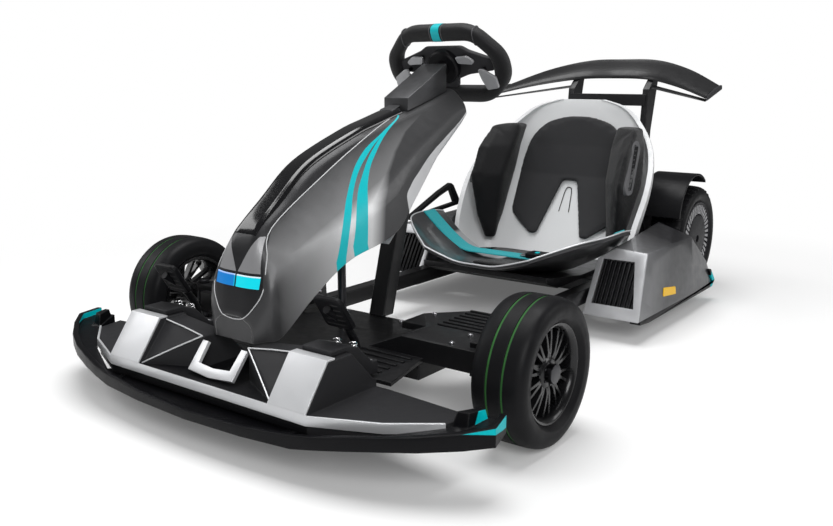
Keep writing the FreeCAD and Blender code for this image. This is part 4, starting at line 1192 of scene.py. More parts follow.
class CopyTree(Maker):
    """Geometry Nodes tree that sets copies on points."""

    def __init__(self, name: str, sockets: dict[str, str]) -> None:
        """Starts a tree.

        Args:
            name: the tree's name.
            sockets: kind of each input by its name, the finish left out.
        """
        super().__init__(bpy.data.node_groups.new(name, "GeometryNodeTree"))
        face = self.tree.interface
        for socket, kind in {**sockets, "Finish": "Material"}.items():
            face.new_socket(socket, in_out="INPUT", socket_type="NodeSocket" + kind)
        face.new_socket("Geometry", in_out="OUTPUT", socket_type="NodeSocketGeometry")
        self.start = self.node("NodeGroupInput").outputs

    def copies(self, points: object, form: object, turn: object,
               move: Optional[Socket] = None) -> bpy.types.NodeTree:
        """Ends the tree with copies of a form on points, turned, joined, moved and painted.

        Args:
            points: where the copies go.
            form: what is copied.
            turn: each copy's rotation.
            move: how far the joined copies move.

        Returns:
            The whole tree.
        """
        copies = self.node("GeometryNodeInstanceOnPoints",
                           {"Points": points, "Instance": form, "Rotation": turn})
        shown = self.node("GeometryNodeRealizeInstances", {0: copies.outputs[0]}).outputs[0]
        if move:
            shown = self.node("GeometryNodeTransform", {"Geometry": shown, "Translation": move}).outputs[0]
        paint = self.node("GeometryNodeSetMaterial", {"Geometry": shown, "Material": self.start["Finish"]})
        self.node("NodeGroupOutput", {0: paint.outputs[0]})
        return self.tree


def radial_tree() -> bpy.types.NodeTree:
    """Tree that sets copies round the X axis and moves them to a wheel.

    Returns:
        The tree, made once.
    """
    known = bpy.data.node_groups.get("radial_copies")
    if known:
        return known
    tree = CopyTree("radial_copies", {"Geometry": "Geometry", "Count": "Int", "Centre": "Vector"})
    count = tree.start["Count"]
    spots = tree.node("GeometryNodeMeshLine", {"Count": count, "Offset": (0, 0, 0)})
    index = tree.node("GeometryNodeInputIndex")
    step = tree.node("Math", {0: math.tau, 1: count}, operation="DIVIDE")
    angle = tree.node("Math", {0: index.outputs[0], 1: step.outputs[0]}, operation="MULTIPLY")
    turn = tree.node("CombineXYZ", {0: angle.outputs[0]})
    return tree.copies(spots.outputs[0], tree.start["Geometry"], turn.outputs[0], tree.start["Centre"])


def placed_tree() -> bpy.types.NodeTree:
    """Tree that sets a form on points and turns it along their direction.

    Returns:
        The tree, made once.
    """
    known = bpy.data.node_groups.get("placed_copies")
    if known:
        return known
    tree = CopyTree("placed_copies", {"Geometry": "Geometry", "Form": "Object"})
    form = tree.node("GeometryNodeObjectInfo", {"Object": tree.start["Form"]})
    facing = tree.node("GeometryNodeInputNamedAttribute", data_type="FLOAT_VECTOR")
    facing.inputs["Name"].default_value = "facing"
    turn = tree.node("FunctionNodeAlignRotationToVector", {"Vector": facing.outputs[0]}, axis="Z")
    return tree.copies(tree.start["Geometry"], form.outputs["Geometry"], turn.outputs[0])


# Wheels
@dataclass
class Wheel:
    """Place and size of a wheel in millimetres."""

    side: int
    name: str
    across: float
    axle_y: float
    radius: float
    half: float
    rim: float
    end: str

    @property
    def centre(self) -> Vector:
        """The wheel's centre."""
        return at(self.across * self.side, self.axle_y, self.radius)

    @property
    def body(self) -> str:
        """The CAD body that the wheel's pieces ride on."""
        return self.end + "_wheel_" + self.name

    def turn(self, form: Shape, profile: Outline, steps: int, hand: int = 1) -> None:
        """Adds a profile of (along, radius) to a form, turned about the axle.

        Args:
            form: the form that grows.
            profile: closed outline in millimetres.
            steps: how many times it is set round the axle.
            hand: the wheel's side for a profile whose first measure goes outwards.
        """
        form.lathe([(a * hand / 1000, r / 1000) for a, r in profile], self.centre, steps)

    def dress_tyre(self, piece: str, profile: Outline) -> None:
        """Rubber ring in the CAD tyre's place.

        Args:
            piece: start of the piece's name.
            profile: closed outline in millimetres.
        """
        tyre = Shape()
        self.turn(tyre, profile, 120)
        made = tyre.piece(piece + self.name, Finishes.tyre, self.body, smooth=40)
        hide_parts(self.end + "_tyre_" + self.name)

    def copies(self, piece: str, form: Shape, count: int, finish: Finish) -> bpy.types.Object:
        """Repeats a form round the axle."""
        return radial_copies(piece + self.name, form, self.centre, count, finish, self.body)


@dataclass
class FrontWheel(Wheel):
    """Slick front tyre with two tinted grooves on a ten-spoke rim."""

    across: float = 376.5
    axle_y: float = -407.0
    radius: float = 108.0
    half: float = 42.0
    rim: float = 73.0
    end: str = "front"
    rim_half: float = 34.0
    groove: float = 12.0

    def build(self) -> None:
        """Makes the tyre, the groove tints, the rim and the hub nut."""
        self.dress_tyre("tyre_slick_", self.tyre_profile())
        tint = Shape()
        low, high = self.radius - 2.7, self.radius - 1.0
        for spot in (-self.groove, self.groove):
            left, right = spot - 1.6, spot + 1.6
            self.turn(tint, [(left, low), (right, low), (right, high), (left, high)], 120)
        tint.piece("groove_tint_" + self.name, Finishes.groove, self.body)
        self.build_rim()

    def tyre_profile(self) -> list[tuple[float, float]]:
        """Rounded half section with beads, sidewall ribs and grooves.

        Returns:
            The outline in millimetres.
        """
        half, rim, top = self.half, self.rim, self.radius
        side = [(self.rim_half - 1, rim - 0.3), (self.rim_half + 1, rim + 1.5), (half - 2, rim + 6),
                (half - 0.6, rim + 8), (half - 0.8, rim + 11), (half, rim + 14), (half, rim + 19),
                (half - 1.4, rim + 25), (half - 4.5, top - 5.2), (half - 9, top - 2.6),
                (half - 14, top - 1.1), (20, top - 0.3)]
        crown = []
        for spot in (self.groove, -self.groove):
            crown += [(spot + 2, top), (spot + 1.7, top - 3), (spot - 1.7, top - 3), (spot - 2, top)]
        return side + crown + [(-a, r) for a, r in reversed(side)]

    def build_rim(self) -> None:
        """Barrel with a stepped lip, ribbed spokes and a capped hub."""
        lip, outer = self.rim_half, self.rim - 0.5
        barrel = [(-lip, outer), (-lip, outer - 5), (-lip + 5, outer - 8), (lip - 9, outer - 9),
                  (lip - 4, outer - 7), (lip - 1, outer - 3.5), (lip, outer - 1.5), (lip, outer)]
        back = -24 if self.side > 0 else -26
        hub = [(back, 9.2), (back, 20), (12, 21), (19, 24), (23, 24), (25.5, 21), (27, 17), (27, 9.2)]
        rim = Shape()
        self.turn(rim, barrel, 96, self.side)
        self.turn(rim, hub, 48, self.side)
        made = rim.piece("rim_" + self.name, Finishes.rim, self.body, smooth=30)
        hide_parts("front_rim_" + self.name)
        self.copies("spokes_", self.spoke(), 10, Finishes.rim)
        nut = Shape()
        cap = [(27, 0.05), (27, 11.5), (29, 12.5), (33, 12.5), (34.5, 11), (34.5, 6.5), (33.5, 0.05)]
        self.turn(nut, cap, 6, self.side)
        nut.piece("hub_nut_" + self.name, Finishes.chrome, self.body, bevel=0.0006)
        bolts = Shape()
        bolt = [(26, 0.05), (26, 2.1), (28.4, 2.1), (28.4, 0.05)]
        bolts.lathe([(a * self.side / 1000, r / 1000) for a, r in bolt], Vector((0, 0, 0.0165)), 6)
        self.copies("hub_bolts_", bolts, 6, Finishes.dark_steel)

    def spoke(self) -> Shape:
        """One forked spoke that stands up along Z from the axle.

        Returns:
            The spoke's form.
        """
        form = Shape()
        # height, reach to the side, outer face and half width
        stations = [(20, 1.6, 24, 3.6), (30, 2.6, 25.5, 3.0), (48, 5.6, 24.5, 2.6),
                    (self.rim - 7.5, 8.6, 22.5, 2.6)]
        for lean in (-1, 1):
            rows = []
            for up, off, face, half in stations:
                low, high = off * lean - half, off * lean + half
                corners = [(face, low + 0.6), (face, high - 0.6), (face - 13, high), (face - 13, low)]
                rows.append([Vector((x * self.side, y, up)) / 1000 for x, y in corners])
            form.loft(rows)
        return form


@dataclass
class RearWheel(Wheel):
    """Treaded rear tyre on a rim with a vented disc cover."""

    across: float = 214.0
    axle_y: float = 623.0
    radius: float = 127.0
    half: float = 40.0
    rim: float = 92.0
    end: str = "rear"

    def build(self) -> None:
        """Makes the carcass, the tread blocks and the disc cover."""
        half, rim, top = self.half, self.rim, self.radius
        side = [(35, rim - 0.3), (37, rim + 2), (half - 0.5, rim + 8), (half, rim + 12), (half, rim + 17),
                (half - 2, rim + 24), (half - 7, top - 7), (half - 15, top - 4.8), (8, top - 4.4)]
        self.dress_tyre("tyre_carcass_", side + [(-a, r) for a, r in reversed(side)])
        self.copies("tread_", self.block(), 38, Finishes.tyre)
        self.build_cover()

    def block(self) -> Shape:
        """Chevron of tread blocks across the crown, at the top of the wheel.

        Returns:
            The blocks' form.
        """
        form = Shape()
        # both ends of each block: place across, skew and drop below the crown
        lanes = [((2.0, 0.0, 0.0), (11.5, 3.2, 0.2)), ((13.5, 3.6, 0.3), (24.5, 6.4, 1.4)),
                 ((26.5, 6.8, 1.8), (35.5, 9.0, 5.6))]
        length = 7.4
        for hand, shift in ((1, 0.0), (-1, 10.5)):
            for lane in lanes:
                rows = []
                for x, skew, drop in lane:
                    top, base = self.radius - 0.2 - drop, self.radius - 6.5 - drop * 1.2
                    y = skew + shift
                    corners = [(y, base), (y + length + 1, base), (y + length, top), (y + 1, top)]
                    rows.append([Vector((x * hand, along, math.sqrt(far * far - along * along))) / 1000
                                 for along, far in corners])
                form.loft(rows)
        return form

    def build_cover(self) -> None:
        """Dished disc with a ring of slanted vents and a plain cap."""
        rim = self.rim
        disc = [(-36, 9.2), (-36, 38), (-10, 44), (-10, rim - 12), (-34, rim - 8), (-36, rim - 1),
                (36, rim - 0.8), (38, rim - 4), (36.5, rim - 8), (33, rim - 11), (33, 60), (36.5, 56),
                (38.2, 40), (38.6, 20), (38.6, 9.2)]
        cover = Shape()
        self.turn(cover, disc, 96, self.side)
        made = cover.piece("disc_cover_" + self.name, Finishes.disc, self.body, smooth=34)
        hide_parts("rear_rim_" + self.name)
        fin = Shape()
        outline = [(-2.8, 60.5), (2.6, 60.5), (7.2, rim - 10), (0.2, rim - 10)]
        fin.block([Vector((33 * self.side, y, z)) / 1000 for y, z in outline],
                  Vector((3.4 * self.side / 1000, 0, 0)))
        self.copies("disc_fins_", fin, 40, Finishes.vent)


# Nose fairing
@dataclass
class NoseFairing:
    """Hollow fairing from the tip to the steering wheel, with its spine, light bar and pin line."""

    stations: tuple = (
        # y, top z, top half width, waist half width, waist z, lower half width, lower z
        (-624, 176, 20, 44, 160, 40, 137),
        (-612, 238, 24, 62, 198, 56, 140),
        (-594, 289, 24, 68, 225, 70, 145.3),
        (-540, 331, 25, 80, 258, 82, 194),
        (-476, 378, 26, 88, 292, 96, 240),
        (-368, 419, 27, 86, 336, 99, 266),
        (-301, 437, 28, 80, 374, 90, 313),
        (-203, 462, 29, 68, 420, 72, 387),
        (-104, 490, 30, 56, 462, 60, 446),
    )
    skin: float = 4.0
    per_station: int = 7
    rounds: int = 5

    def half_section(self, row: Sequence[float], inset: float = 0.0) -> list[Vector]:
        """Points from the middle of the top down one side to the lower edge.

        Args:
            row: a station's measures.
            inset: how far inside the outer face, in millimetres.

        Returns:
            The points.
        """
        y, top_z, top_half, waist, waist_z, lower, lower_z = row
        corners = [at(0, y, top_z - inset), at(top_half - inset, y, top_z - inset),
                   at(waist - inset, y, waist_z), at(lower - inset, y, lower_z)]
        return arc_line(corners, 0.022, self.rounds)

    def build(self) -> None:
        """Makes the skin, spine, lamps and pin line."""
        rows = spline(self.stations, self.per_station)
        skin = self.build_skin(rows)
        self.build_spine(rows)
        surface = tree_of(skin)
        self.build_pin_line(surface)
        self.build_lamps(surface)

    def build_skin(self, rows: Sequence[Sequence[float]]) -> bpy.types.Object:
        """Closed shell with its own coordinates for the paint.

        Args:
            rows: measures of every section.

        Returns:
            The skin.
        """
        halves = [self.half_section(row, inset) for inset in (0.0, self.skin) for row in rows]
        count = 2 * len(halves[0]) - 1
        corners = [p for half in halves for p in mirrored(half[1:]) + half]
        shift = len(rows) * count
        faces = []
        for i in range(len(rows) - 1):
            for j in range(count - 1):
                a = i * count + j
                faces.append((a, a + 1, a + count + 1, a + count))
                faces.append((a + shift, a + count + shift, a + count + 1 + shift, a + 1 + shift))
            for j in (0, count - 1):
                a = i * count + j
                faces.append((a, a + count, a + count + shift, a + shift))
        for i in (0, len(rows) - 1):
            for j in range(count - 1):
                a = i * count + j
                faces.append((a, a + 1, a + 1 + shift, a + shift))
        faces.append(tuple(shift + j for j in range(count)))
        mesh = bpy.data.meshes.new("nose_skin")
        mesh.from_pydata([tuple(c) for c in corners], [], faces)
        layer = mesh.uv_layers.new(name="skin")
        middle = (count - 1) / 2
        for loop in mesh.loops:
            number = loop.vertex_index % shift
            along = (number // count) / (len(rows) - 1)
            across = abs(number % count - middle) / middle
            layer.data[loop.index].uv = (along, across)
        work = bmesh.new()
        work.from_mesh(mesh)
        bmesh.ops.recalc_face_normals(work, faces=work.faces)
        work.to_mesh(mesh)
        work.free()
        mesh.shade_smooth()
        mesh.set_sharp_from_angle(angle=math.radians(50))
        mesh.materials.append(Finishes.fairing.material())
        piece = linked("nose_skin", mesh)
        settle(piece, "nose_shell")
        return piece

    def build_pin_line(self, surface: BVHTree) -> None:
        """Thin pale line round the hood, from the column cover down and round the tip.

        Args:
            surface: the skin.
        """
        half = [(18, -259, 448), (33, -372, 409), (39, -474, 361), (33, -572, 298), (45, -595, 256),
                (51, -610, 214), (40, -619, 190), (22, -625, 172), (0, -627, 168)]
        path = [Vector(row) for row in spline(half, 5)]
        path += mirrored(path[:-1])
        spots = []
        for p in path:
            near, normal, _, _ = surface.find_nearest(at(*p))
            spots.append(near + normal * 0.0002)
        line = Shape()
        line.tube(spots, 0.0008, 6)
        line.piece("hood_pin_line", Finishes.pin_line)

    def build_lamps(self, surface: BVHTree) -> None:
        """Two glowing lenses either side of the hood's centre, each with a bright upper edge.

        Args:
            surface: the skin.
        """
        for side, name in SIDES:
            for part, low, high, finish in (("lens", 215.5, 230.8, Finishes.light),
                                            ("edge", 231.2, 232.8, Finishes.lens_edge)):
                rows = []
                for k in range(9):
                    x = 2 + 42.5 * k / 8
                    base, top = (surface.ray_cast(at(x * side, -700, z), Vector((0, 1, 0)))[0]
                                 + Vector((0, -0.0012, 0)) for z in (low, high))
                    rows.append([base, top, top + Vector((0, 0.006, 0)), base + Vector((0, 0.006, 0))])
                lens = Shape()
                lens.loft(rows)
                made = lens.piece("lamp_%s_%s" % (part, name), finish)
                if side > 0 and part == "lens":
                    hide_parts("headlight")

    def build_spine(self, rows: Sequence[Sequence[float]]) -> None:
        """Rounded black ridge along the top.

        Args:
            rows: measures of every section.
        """
        ridge = Shape()
        front, rear = -596, -238
        sections = []
        for row in rows:
            y, top_z = row[:2]
            if not front <= y <= rear:
                continue
            rise = 8.6 * min(1.0, (y - front) / 60) ** 0.6
            corners = [(-24, top_z - 2), (-17, top_z + rise), (17, top_z + rise), (24, top_z - 2)]
            sections.append([at(x, y, z) for x, z in round_outline(corners, 9, 4)])
        ridge.loft(sections)
        settle(ridge.piece("spine_ridge", Finishes.gloss, smooth=40), "nose_spine")
        hatch = Shape()
        outline = round_outline([(-15, -26), (15, -26), (12, 0), (-12, 0)], 4)
        hatch.block([at(x, rear - 0.5 + up, 461.5 + up * 0.3) for x, up in outline], Vector((0, 0, 0.0022)))
        hatch.piece("spine_hatch", Finishes.cover_grey, bevel=0.0008)


# Steering wheel
@dataclass
class SteeringWheel:
    """Flattened padded rim with a teal marker, on a three-spoke hub with four paddles."""

    centre: Point = (0, -80, 535)
    tilt: float = 27.0
    half_width: float = 132.0
    half_height: float = 76.0
    band: float = 30.0
    depth: float = 27.0
    body: str = "steering"

    def spot(self, across: float, up: float, out: float) -> Vector:
        """Point of the wheel's own plane.

        Args:
            across, up, out: millimetres to the kart's left, up in the plane and towards the driver.

        Returns:
            The point in the frame.
        """
        tilt = math.radians(self.tilt)
        axis = Vector((0, math.cos(tilt), math.sin(tilt)))
        rise = Vector((0, -math.sin(tilt), math.cos(tilt)))
        return at(*self.centre) + (Vector((across, 0, 0)) + rise * up + axis * out) / 1000

    @staticmethod
    def octagon(half_w: float, half_h: float, top: float, bottom: float, radius: float) -> list:
        """Rectangle with its corners cut and rounded.

        Args:
            half_w, half_h: half its width and height.
            top, bottom: how far the corners are cut.
            radius: reach of the rounding.

        Returns:
            The outline in millimetres.
        """
        return round_outline([(-half_w, half_h - top), (-half_w + top, half_h), (half_w - top, half_h),
                              (half_w, half_h - top), (half_w, -half_h + bottom), (half_w - bottom, -half_h),
                              (-half_w + bottom, -half_h), (-half_w, -half_h + bottom)], radius, 7)

    def build(self) -> None:
        """Makes the rim, its marker, seams and the hub."""
        outer = self.octagon(self.half_width, self.half_height, 58, 46.4, 30)
        inner = self.octagon(self.half_width - self.band, self.half_height - self.band, 32, 22.4, 16)
        rim = Shape()
        rim.loft([self.ring(o, i, 1.0) for o, i in zip(outer, inner)], ring=True)
        settle(rim.piece("rim_grip", Finishes.grip, self.body, smooth=60), "steering_rim")
        high, low = self.half_height, self.half_height - self.band
        marker = Shape()
        marker.loft([self.ring((x, high), (x, low), 1.035) for x in (-9, -4, 4, 8.5)])
        marker.piece("rim_marker", Finishes.teal, self.body, smooth=60)
        seams = Shape()
        for x in (-78, -12.5, 12.5, 78):
            top = high if abs(x) < 70 else high - 6.2
            bottom = low if abs(x) < 70 else low - 9.5
            seams.loft([self.ring((x + off, top), (x + off, bottom), 1.02) for off in (-0.7, 0.7)])
        seams.piece("rim_seams", Finishes.seam, self.body, smooth=60)
        self.build_hub()

    def ring(self, outer: Sequence[float], inner: Sequence[float], grow: float) -> list[Vector]:
        """Rounded cross section of the rim between two spots of its outlines.

        Args:
            outer, inner: the spots on both outlines.
            grow: factor on the section.

        Returns:
            The section's points.
        """
        ring = []
        for k in range(24):
            angle = math.tau * k / 24
            across, deep = (math.copysign(abs(part) ** 0.72, part)
                            for part in (math.cos(angle), math.sin(angle)))
            share = 0.5 + 0.5 * across * grow
            x = inner[0] + (outer[0] - inner[0]) * share
            up = inner[1] + (outer[1] - inner[1]) * share
            ring.append(self.spot(x, up, deep * grow * self.depth / 2))
        return ring

    def turned(self, profile: Outline, steps: int = 48) -> Shape:
        """Turns a closed (out, radius) profile about the steering axis.

        Args:
            profile: the outline in millimetres.
            steps: sections of a full turn.

        Returns:
            The turned form.
        """
        form = Shape()
        angles = [math.tau * k / steps for k in range(steps)]
        form.loft([[self.spot(r * math.cos(a), r * math.sin(a), out) for out, r in profile] for a in angles],
                  ring=True)
        return form

    def plate(self, outline: Outline, low: float, high: float,
              radius: float = 3.0) -> Shape:
        """Flat plate between two depths.

        Args:
            outline: its corners.
            low, high: the depths.
            radius: reach of the rounding.

        Returns:
            The plate's form.
        """
        form = Shape()
        soft = round_outline(outline, radius)
        form.loft([[self.spot(x, up, out) for x, up in soft] for out in (low, high)])
        return form

    def build_hub(self) -> None:
        """Spoke plate, boss with a ringed cover, column and paddles."""
        spokes = self.plate([(-103, 8), (-52, 26), (-40, 34), (40, 34), (52, 26), (103, 8), (103, -12),
                             (46, -20), (18, -30), (14, -47), (-14, -47), (-18, -30), (-46, -20),
                             (-103, -12)], -5.5, 4.5, 6)
        made = spokes.piece("hub_spokes", Finishes.charcoal, self.body, bevel=0.0018)
        settle(made, "steering_hub")
        boss = self.turned([(-19, 0.2), (-19, 29), (-16, 32), (6, 32), (9, 30), (10.5, 27), (10.5, 24),
                            (9, 23), (9, 16), (10.5, 15), (11, 12), (11, 0.2)])
        boss.piece("hub_boss", Finishes.black, self.body)
        tube = Shape()
        tube.tube([self.spot(0, 0, -18), self.spot(0, 0, -89)], 0.013, 32)
        tube.piece("column_tube", Finishes.dark_steel, self.body)
        panels = self.pair([(40, 20), (52, 20), (88, 6), (88, -6), (46, -14), (38, -6)], 4.5, 6.0)
        panels.piece("spoke_panels", Finishes.gloss, self.body, bevel=0.0006)
        for name, outline, stem in (
                ("upper", [(36, 22), (60, 24), (74, 14), (70, 8), (40, 10)],
                 [(44, 20), (52, 20), (52, 12), (44, 12)]),
                ("lower", [(78, -2), (88, -2), (112, -17), (114, -38), (90, -42), (82, -22)],
                 [(79, -4), (86, -4), (86, -10), (79, -10)])):
            leaves, stems = self.pair(outline, -22.5, -17.5), self.pair(stem, -17.6, -5)
            leaves.piece("paddles_" + name, Finishes.paddle, self.body, bevel=0.0015)
            stems.piece("paddle_stems_" + name, Finishes.black, self.body, bevel=0.0006)
        screws = Shape()
        screws.lathe([(0.0, 0.0001), (0.0, 0.0022), (0.0014, 0.0019), (0.0014, 0.0001)], Vector((0, 0, 0)),
                     12, Turn.UPRIGHT)
        axis = self.spot(0, 0, 1) - self.spot(0, 0, 0)
        angles = [math.tau * k / 6 for k in range(6)]
        spots = [(self.spot(19.5 * math.cos(a), 19.5 * math.sin(a), 9.0), axis) for a in angles]
        placed_copies("hub_screws", screws, spots, Finishes.steel, self.body)

    def pair(self, outline: Outline, low: float, high: float) -> Shape:
        """The same rounded plate on both sides.

        Args:
            outline: the left plate's corners.
            low, high: the depths.

        Returns:
            The form of both plates.
        """
        both = Shape()
        for side, _ in SIDES:
            form = self.plate([(side * x, up) for x, up in outline], low, high)
            both.add(form.corners, form.faces)
        return both


# Front end
@dataclass
class FrontEnd:
    """Deck, silver trim, bumper and pedals."""

    pedal_mid: float = 171.5
    pedal_half: float = 26.0

    def build(self) -> None:
        """Makes every piece ahead of the floor."""
        soften("front_bumper", Finishes.bumper, 2.2)
        soften("front_deck", Finishes.deck, 3.0)
        soften("deck_trim", Finishes.silver, 1.6)
        self.build_edges()
        self.build_pedals()

    def build_edges(self) -> None:
        """Thin silver tubes along the ridges between the straps and the collar, painted highlights on the
        ridges.
        """
        # the silver tubes are painted highlights along the ridges
        bars = Shape()
        for side, _ in SIDES:
            neck = at(side * 49, -641, 137)
            for far in (at(side * 137, -686, 90), at(side * 137, -637, 147)):
                bars.tube([far, far.lerp(neck, 0.5) + Vector((0, 0, 0.0008)), neck], 0.0012, 8)
        bars.piece("ridge_edges", Finishes.silver)

    def build_pedals(self) -> None:
        """Rounded pads on curved arms, each with a bright spring and a hinge."""
        pads, treads, arms, springs, hinges = Shape(), Shape(), Shape(), Shape(), Shape()
        slope = Vector((0, -60, 93)).normalized()
        out = Vector((0, -slope.z, slope.y))
        for side, _ in SIDES:
            mid = Vector((self.pedal_mid * side, -597, 196))
            half = self.pedal_half
            outline = round_outline([(-half, -27), (half, -27), (half - 1, 25), (half - 7, 30),
                                     (7 - half, 30), (1 - half, 25)], 9, 4)
            rungs = [-20 + 9.5 * k for k in range(5)]
            ribs = [[(-19, up), (19, up), (19, up + 4), (-19, up + 4)] for up in rungs]
            for form, flat, depth in [(pads, outline, -0.008)] + [(treads, rib, -0.0098) for rib in ribs]:
                form.block([at(*(mid + Vector((x, 0, 0)) + slope * up)) for x, up in flat], out * depth)
            bends = [at(mid.x, y, z) for y, z in ((-580, 186), (-552, 150), (-545, 118))]
            arms.tube(arc_line([at(*(mid + slope * 16 + out * 5))] + bends, 0.03, 6), 0.006, 12)
            for off in (-15, 15):
                turns = [(math.tau * 9 * k / 126, k / 126) for k in range(127)]
                springs.tube([at(mid.x + off + 5 * math.cos(a), -566 + 5 * math.sin(a) - 8 * t, 112 + 44 * t)
                              for a, t in turns], 0.0011, 6)
            hinges.tube([at(mid.x + reach * side, -545, 118) for reach in (-24, 24)], 0.0055, 16)
        made = pads.piece("pedal_pads", Finishes.black, bevel=0.0025, steps=3)
        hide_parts("pedals")
        treads.piece("pedal_treads", Finishes.grip, bevel=0.0008)
        arms.piece("pedal_arms", Finishes.black, smooth=50)
        springs.piece("pedal_springs", Finishes.chrome, smooth=60)
        hinges.piece("pedal_hinges", Finishes.steel)
        soften("pedal_bases", Finishes.deck, 2.0)


# Seat
@dataclass
class Seat:
    """Bucket shell on a tray, with simulated pads and a flat belt."""

    shell: tuple = (
        # z, back y, back half width, side x, side y, tip x, tip y
        (100, 366, 140, 188, 336, 206, 262),
        (190, 408, 140, 204, 360, 218, 296),
        (280, 449, 140, 207, 402, 222, 352),
        (350, 468, 134, 182, 452, 198, 416),
        (405, 479, 104, 144, 474, 152, 460),
        (440, 484.5, 62, 100, 483, 108, 478),
        (457, 488, 24, 46, 488, 50, 486),
    )
    wall: float = 12.0
    tray: tuple = (
        # y, rim half width, rim z, knee half width, knee z, floor half width, floor z
        (20, 124, 160, 96, 150, 44, 136),
        (74, 195, 190, 150, 156, 60, 124),
        (127, 236, 202, 176, 158, 90, 117),
        (200, 242, 204, 182, 154, 110, 108),
        (250, 236, 198, 180, 148, 112, 108),
    )

    def build(self) -> None:
        """Makes the shell, the tray, the pads and the belt."""
        self.build_shell()
        self.build_tray()
        Cushion("back_cushion", "back_pad", Finishes.pad_dark, "seat_shell", self.back_form(), 0.003,
                0.0012).build()
        bolsters = Cushion("bolster_cushions", "seat_bolsters", Finishes.pad_black, "seat_shell",
                           self.bolster_form(), 0.005, 0.003).build()
        Cushion("seat_cushion", "base_pad", Finishes.pad_black, "seat_tray", merged_copy("base_pad"), 0.0025,
                0.0015).build()
        self.build_louvres(tree_of(bolsters))
        self.build_slot()
        Belt(self.tray[3]).build()
        soften("seat_base", Finishes.frame_paint, 2.0)

    def back_at(self, z: float) -> float:
        """Station of the shell's inner back at a height, in millimetres.

        Args:
            z: the height.

        Returns:
            The station.
        """
        for low, high in zip(self.shell, self.shell[1:]):
            if z <= high[0]:
                break
        share = max(0.0, (z - low[0]) / (high[0] - low[0]))
        return low[1] + (high[1] - low[1]) * share

    def back_form(self) -> bmesh.types.BMesh:
        """Start form of the back pad: arched top, two legs, bent along the shell's back.

        Returns:
            The form.
        """
        # half width, height and corner reach
        right = [(8, 268, 3), (19, 266, 3), (57, 143, 6), (73, 141, 6), (139, 187, 14), (139, 300, 60),
                 (124, 364, 60), (88, 402, 60), (34, 418, 50)]
        spots = right + [(-x, z, r) for x, z, r in reversed(right)]
        outline = round_outline([(x, z) for x, z, _ in spots], [r for _, _, r in spots], 6)
        work = bmesh.new()
        front = work.faces.new([work.verts.new((x, -9.0, z)) for x, z in outline])
        made = bmesh.ops.extrude_face_region(work, geom=[front])["geom"]
        rear = [v for v in made if isinstance(v, bmesh.types.BMVert)]
        bmesh.ops.translate(work, vec=(0, 8.0, 0), verts=rear)
        for z in range(150, 420, 10):
            whole = work.verts[:] + work.edges[:] + work.faces[:]
            bmesh.ops.bisect_plane(work, geom=whole, plane_co=(0, 0, z), plane_no=(0, 0, 1))
        for vertex in work.verts:
            x, y, z = vertex.co
            vertex.co = at(x, y + self.back_at(z), z)
        bmesh.ops.recalc_face_normals(work, faces=work.faces)
        return work

    def bolster_form(self) -> bmesh.types.BMesh:
        """Start form of both bolsters, rounded and slightly thinner than the finished pads.

        Returns:
            The form.
        """
        rows = [
            # z, inner x, y, outer x, y, rear outer x, y, rear inner x, y
            (127, 145, 331, 167, 323, 173, 330, 146, 345),
            (185, 143, 339, 180, 302, 193, 338, 144, 382),
            (281, 133, 346, 189, 284, 203, 380, 142, 430),
            (348, 126, 382, 189, 315, 184, 434, 140, 451),
            (399, 124, 410, 184, 373, 177, 440, 128, 461),
        ]
        form = Shape()
        for side, _ in SIDES:
            sections = []
            for z, *flat in rows:
                corners = list(zip(flat[::2], flat[1::2]))
                sections.append([at(x * side, y, z) for x, y in round_outline(corners, 9, 4)])
            form.loft(sections)
        work = bmesh.new()
        corners = [work.verts.new(c) for c in form.corners]
        for face in form.faces:
            work.faces.new([corners[i] for i in face])
        bmesh.ops.recalc_face_normals(work, faces=work.faces)
        return work

    def build_shell(self) -> None:
        """Rounded bucket with a wide rim."""
        sections = []
        for z, back, half, side_x, side_y, tip_x, tip_y in spline(self.shell, 6):
            wall = self.wall
            inner = [(tip_x, tip_y), (side_x, side_y), (half, back)]
            outer = [(tip_x + wall, tip_y), (side_x + wall * 0.9, side_y + wall * 0.8),
                     (half + wall * 0.4, back + wall)]
            near, far = ([Vector((x, y, z)) for x, y in edge] for edge in (inner, outer))
            near, far = arc_line(near + mirrored(near), 60, 5), arc_line(far + mirrored(far), 66, 5)
            sections.append([at(*p) for p in near + far[::-1]])
        shell = Shape()
        shell.loft(sections)
        settle(shell.piece("bucket_shell", Finishes.shell_silver, bevel=0.0035, steps=3), "seat_shell")

    def build_tray(self) -> None:
        """Flared tray with a bright line along its rim, a painted highlight."""
        sections, rim_line = [], []
        wall = 7.0
        for y, rim, rim_z, knee, knee_z, floor, floor_z in spline(self.tray, 6):
            upper = [Vector((rim, y, rim_z)), Vector((knee, y, knee_z)), Vector((floor, y, floor_z))]
            lower = [Vector((rim + 2, y, rim_z - wall * 1.2)), Vector((knee + 4, y, knee_z - wall)),
                     Vector((floor, y, floor_z - wall))]
            upper, lower = (arc_line(edge + mirrored(edge), 26, 4) for edge in (upper, lower))
            sections.append([at(*p) for p in upper + lower[::-1]])
            rim_line.append(at(rim + 0.6, y, rim_z - 0.6))
        tray = Shape()
        tray.loft(sections)
        settle(tray.piece("tray_shell", Finishes.tray, bevel=0.002, steps=2), "seat_tray")
        first = self.tray[0]
        shares = ((1, first[2]), (0.77, first[4]), (0.36, first[6]))
        front = [at(first[1] * share, first[0] - 0.4, z) for share, z in shares]
        path = rim_line[::-1] + (front + mirrored(front))[1:-1] + mirrored(rim_line[::-1])
        # bright tube along the rim: a painted highlight where the tray's rim catches the light
        edge = Shape()
        edge.tube(arc_line(path, 0.02, 3), 0.0016, 8)
        edge.piece("tray_edge", Finishes.silver, smooth=60)

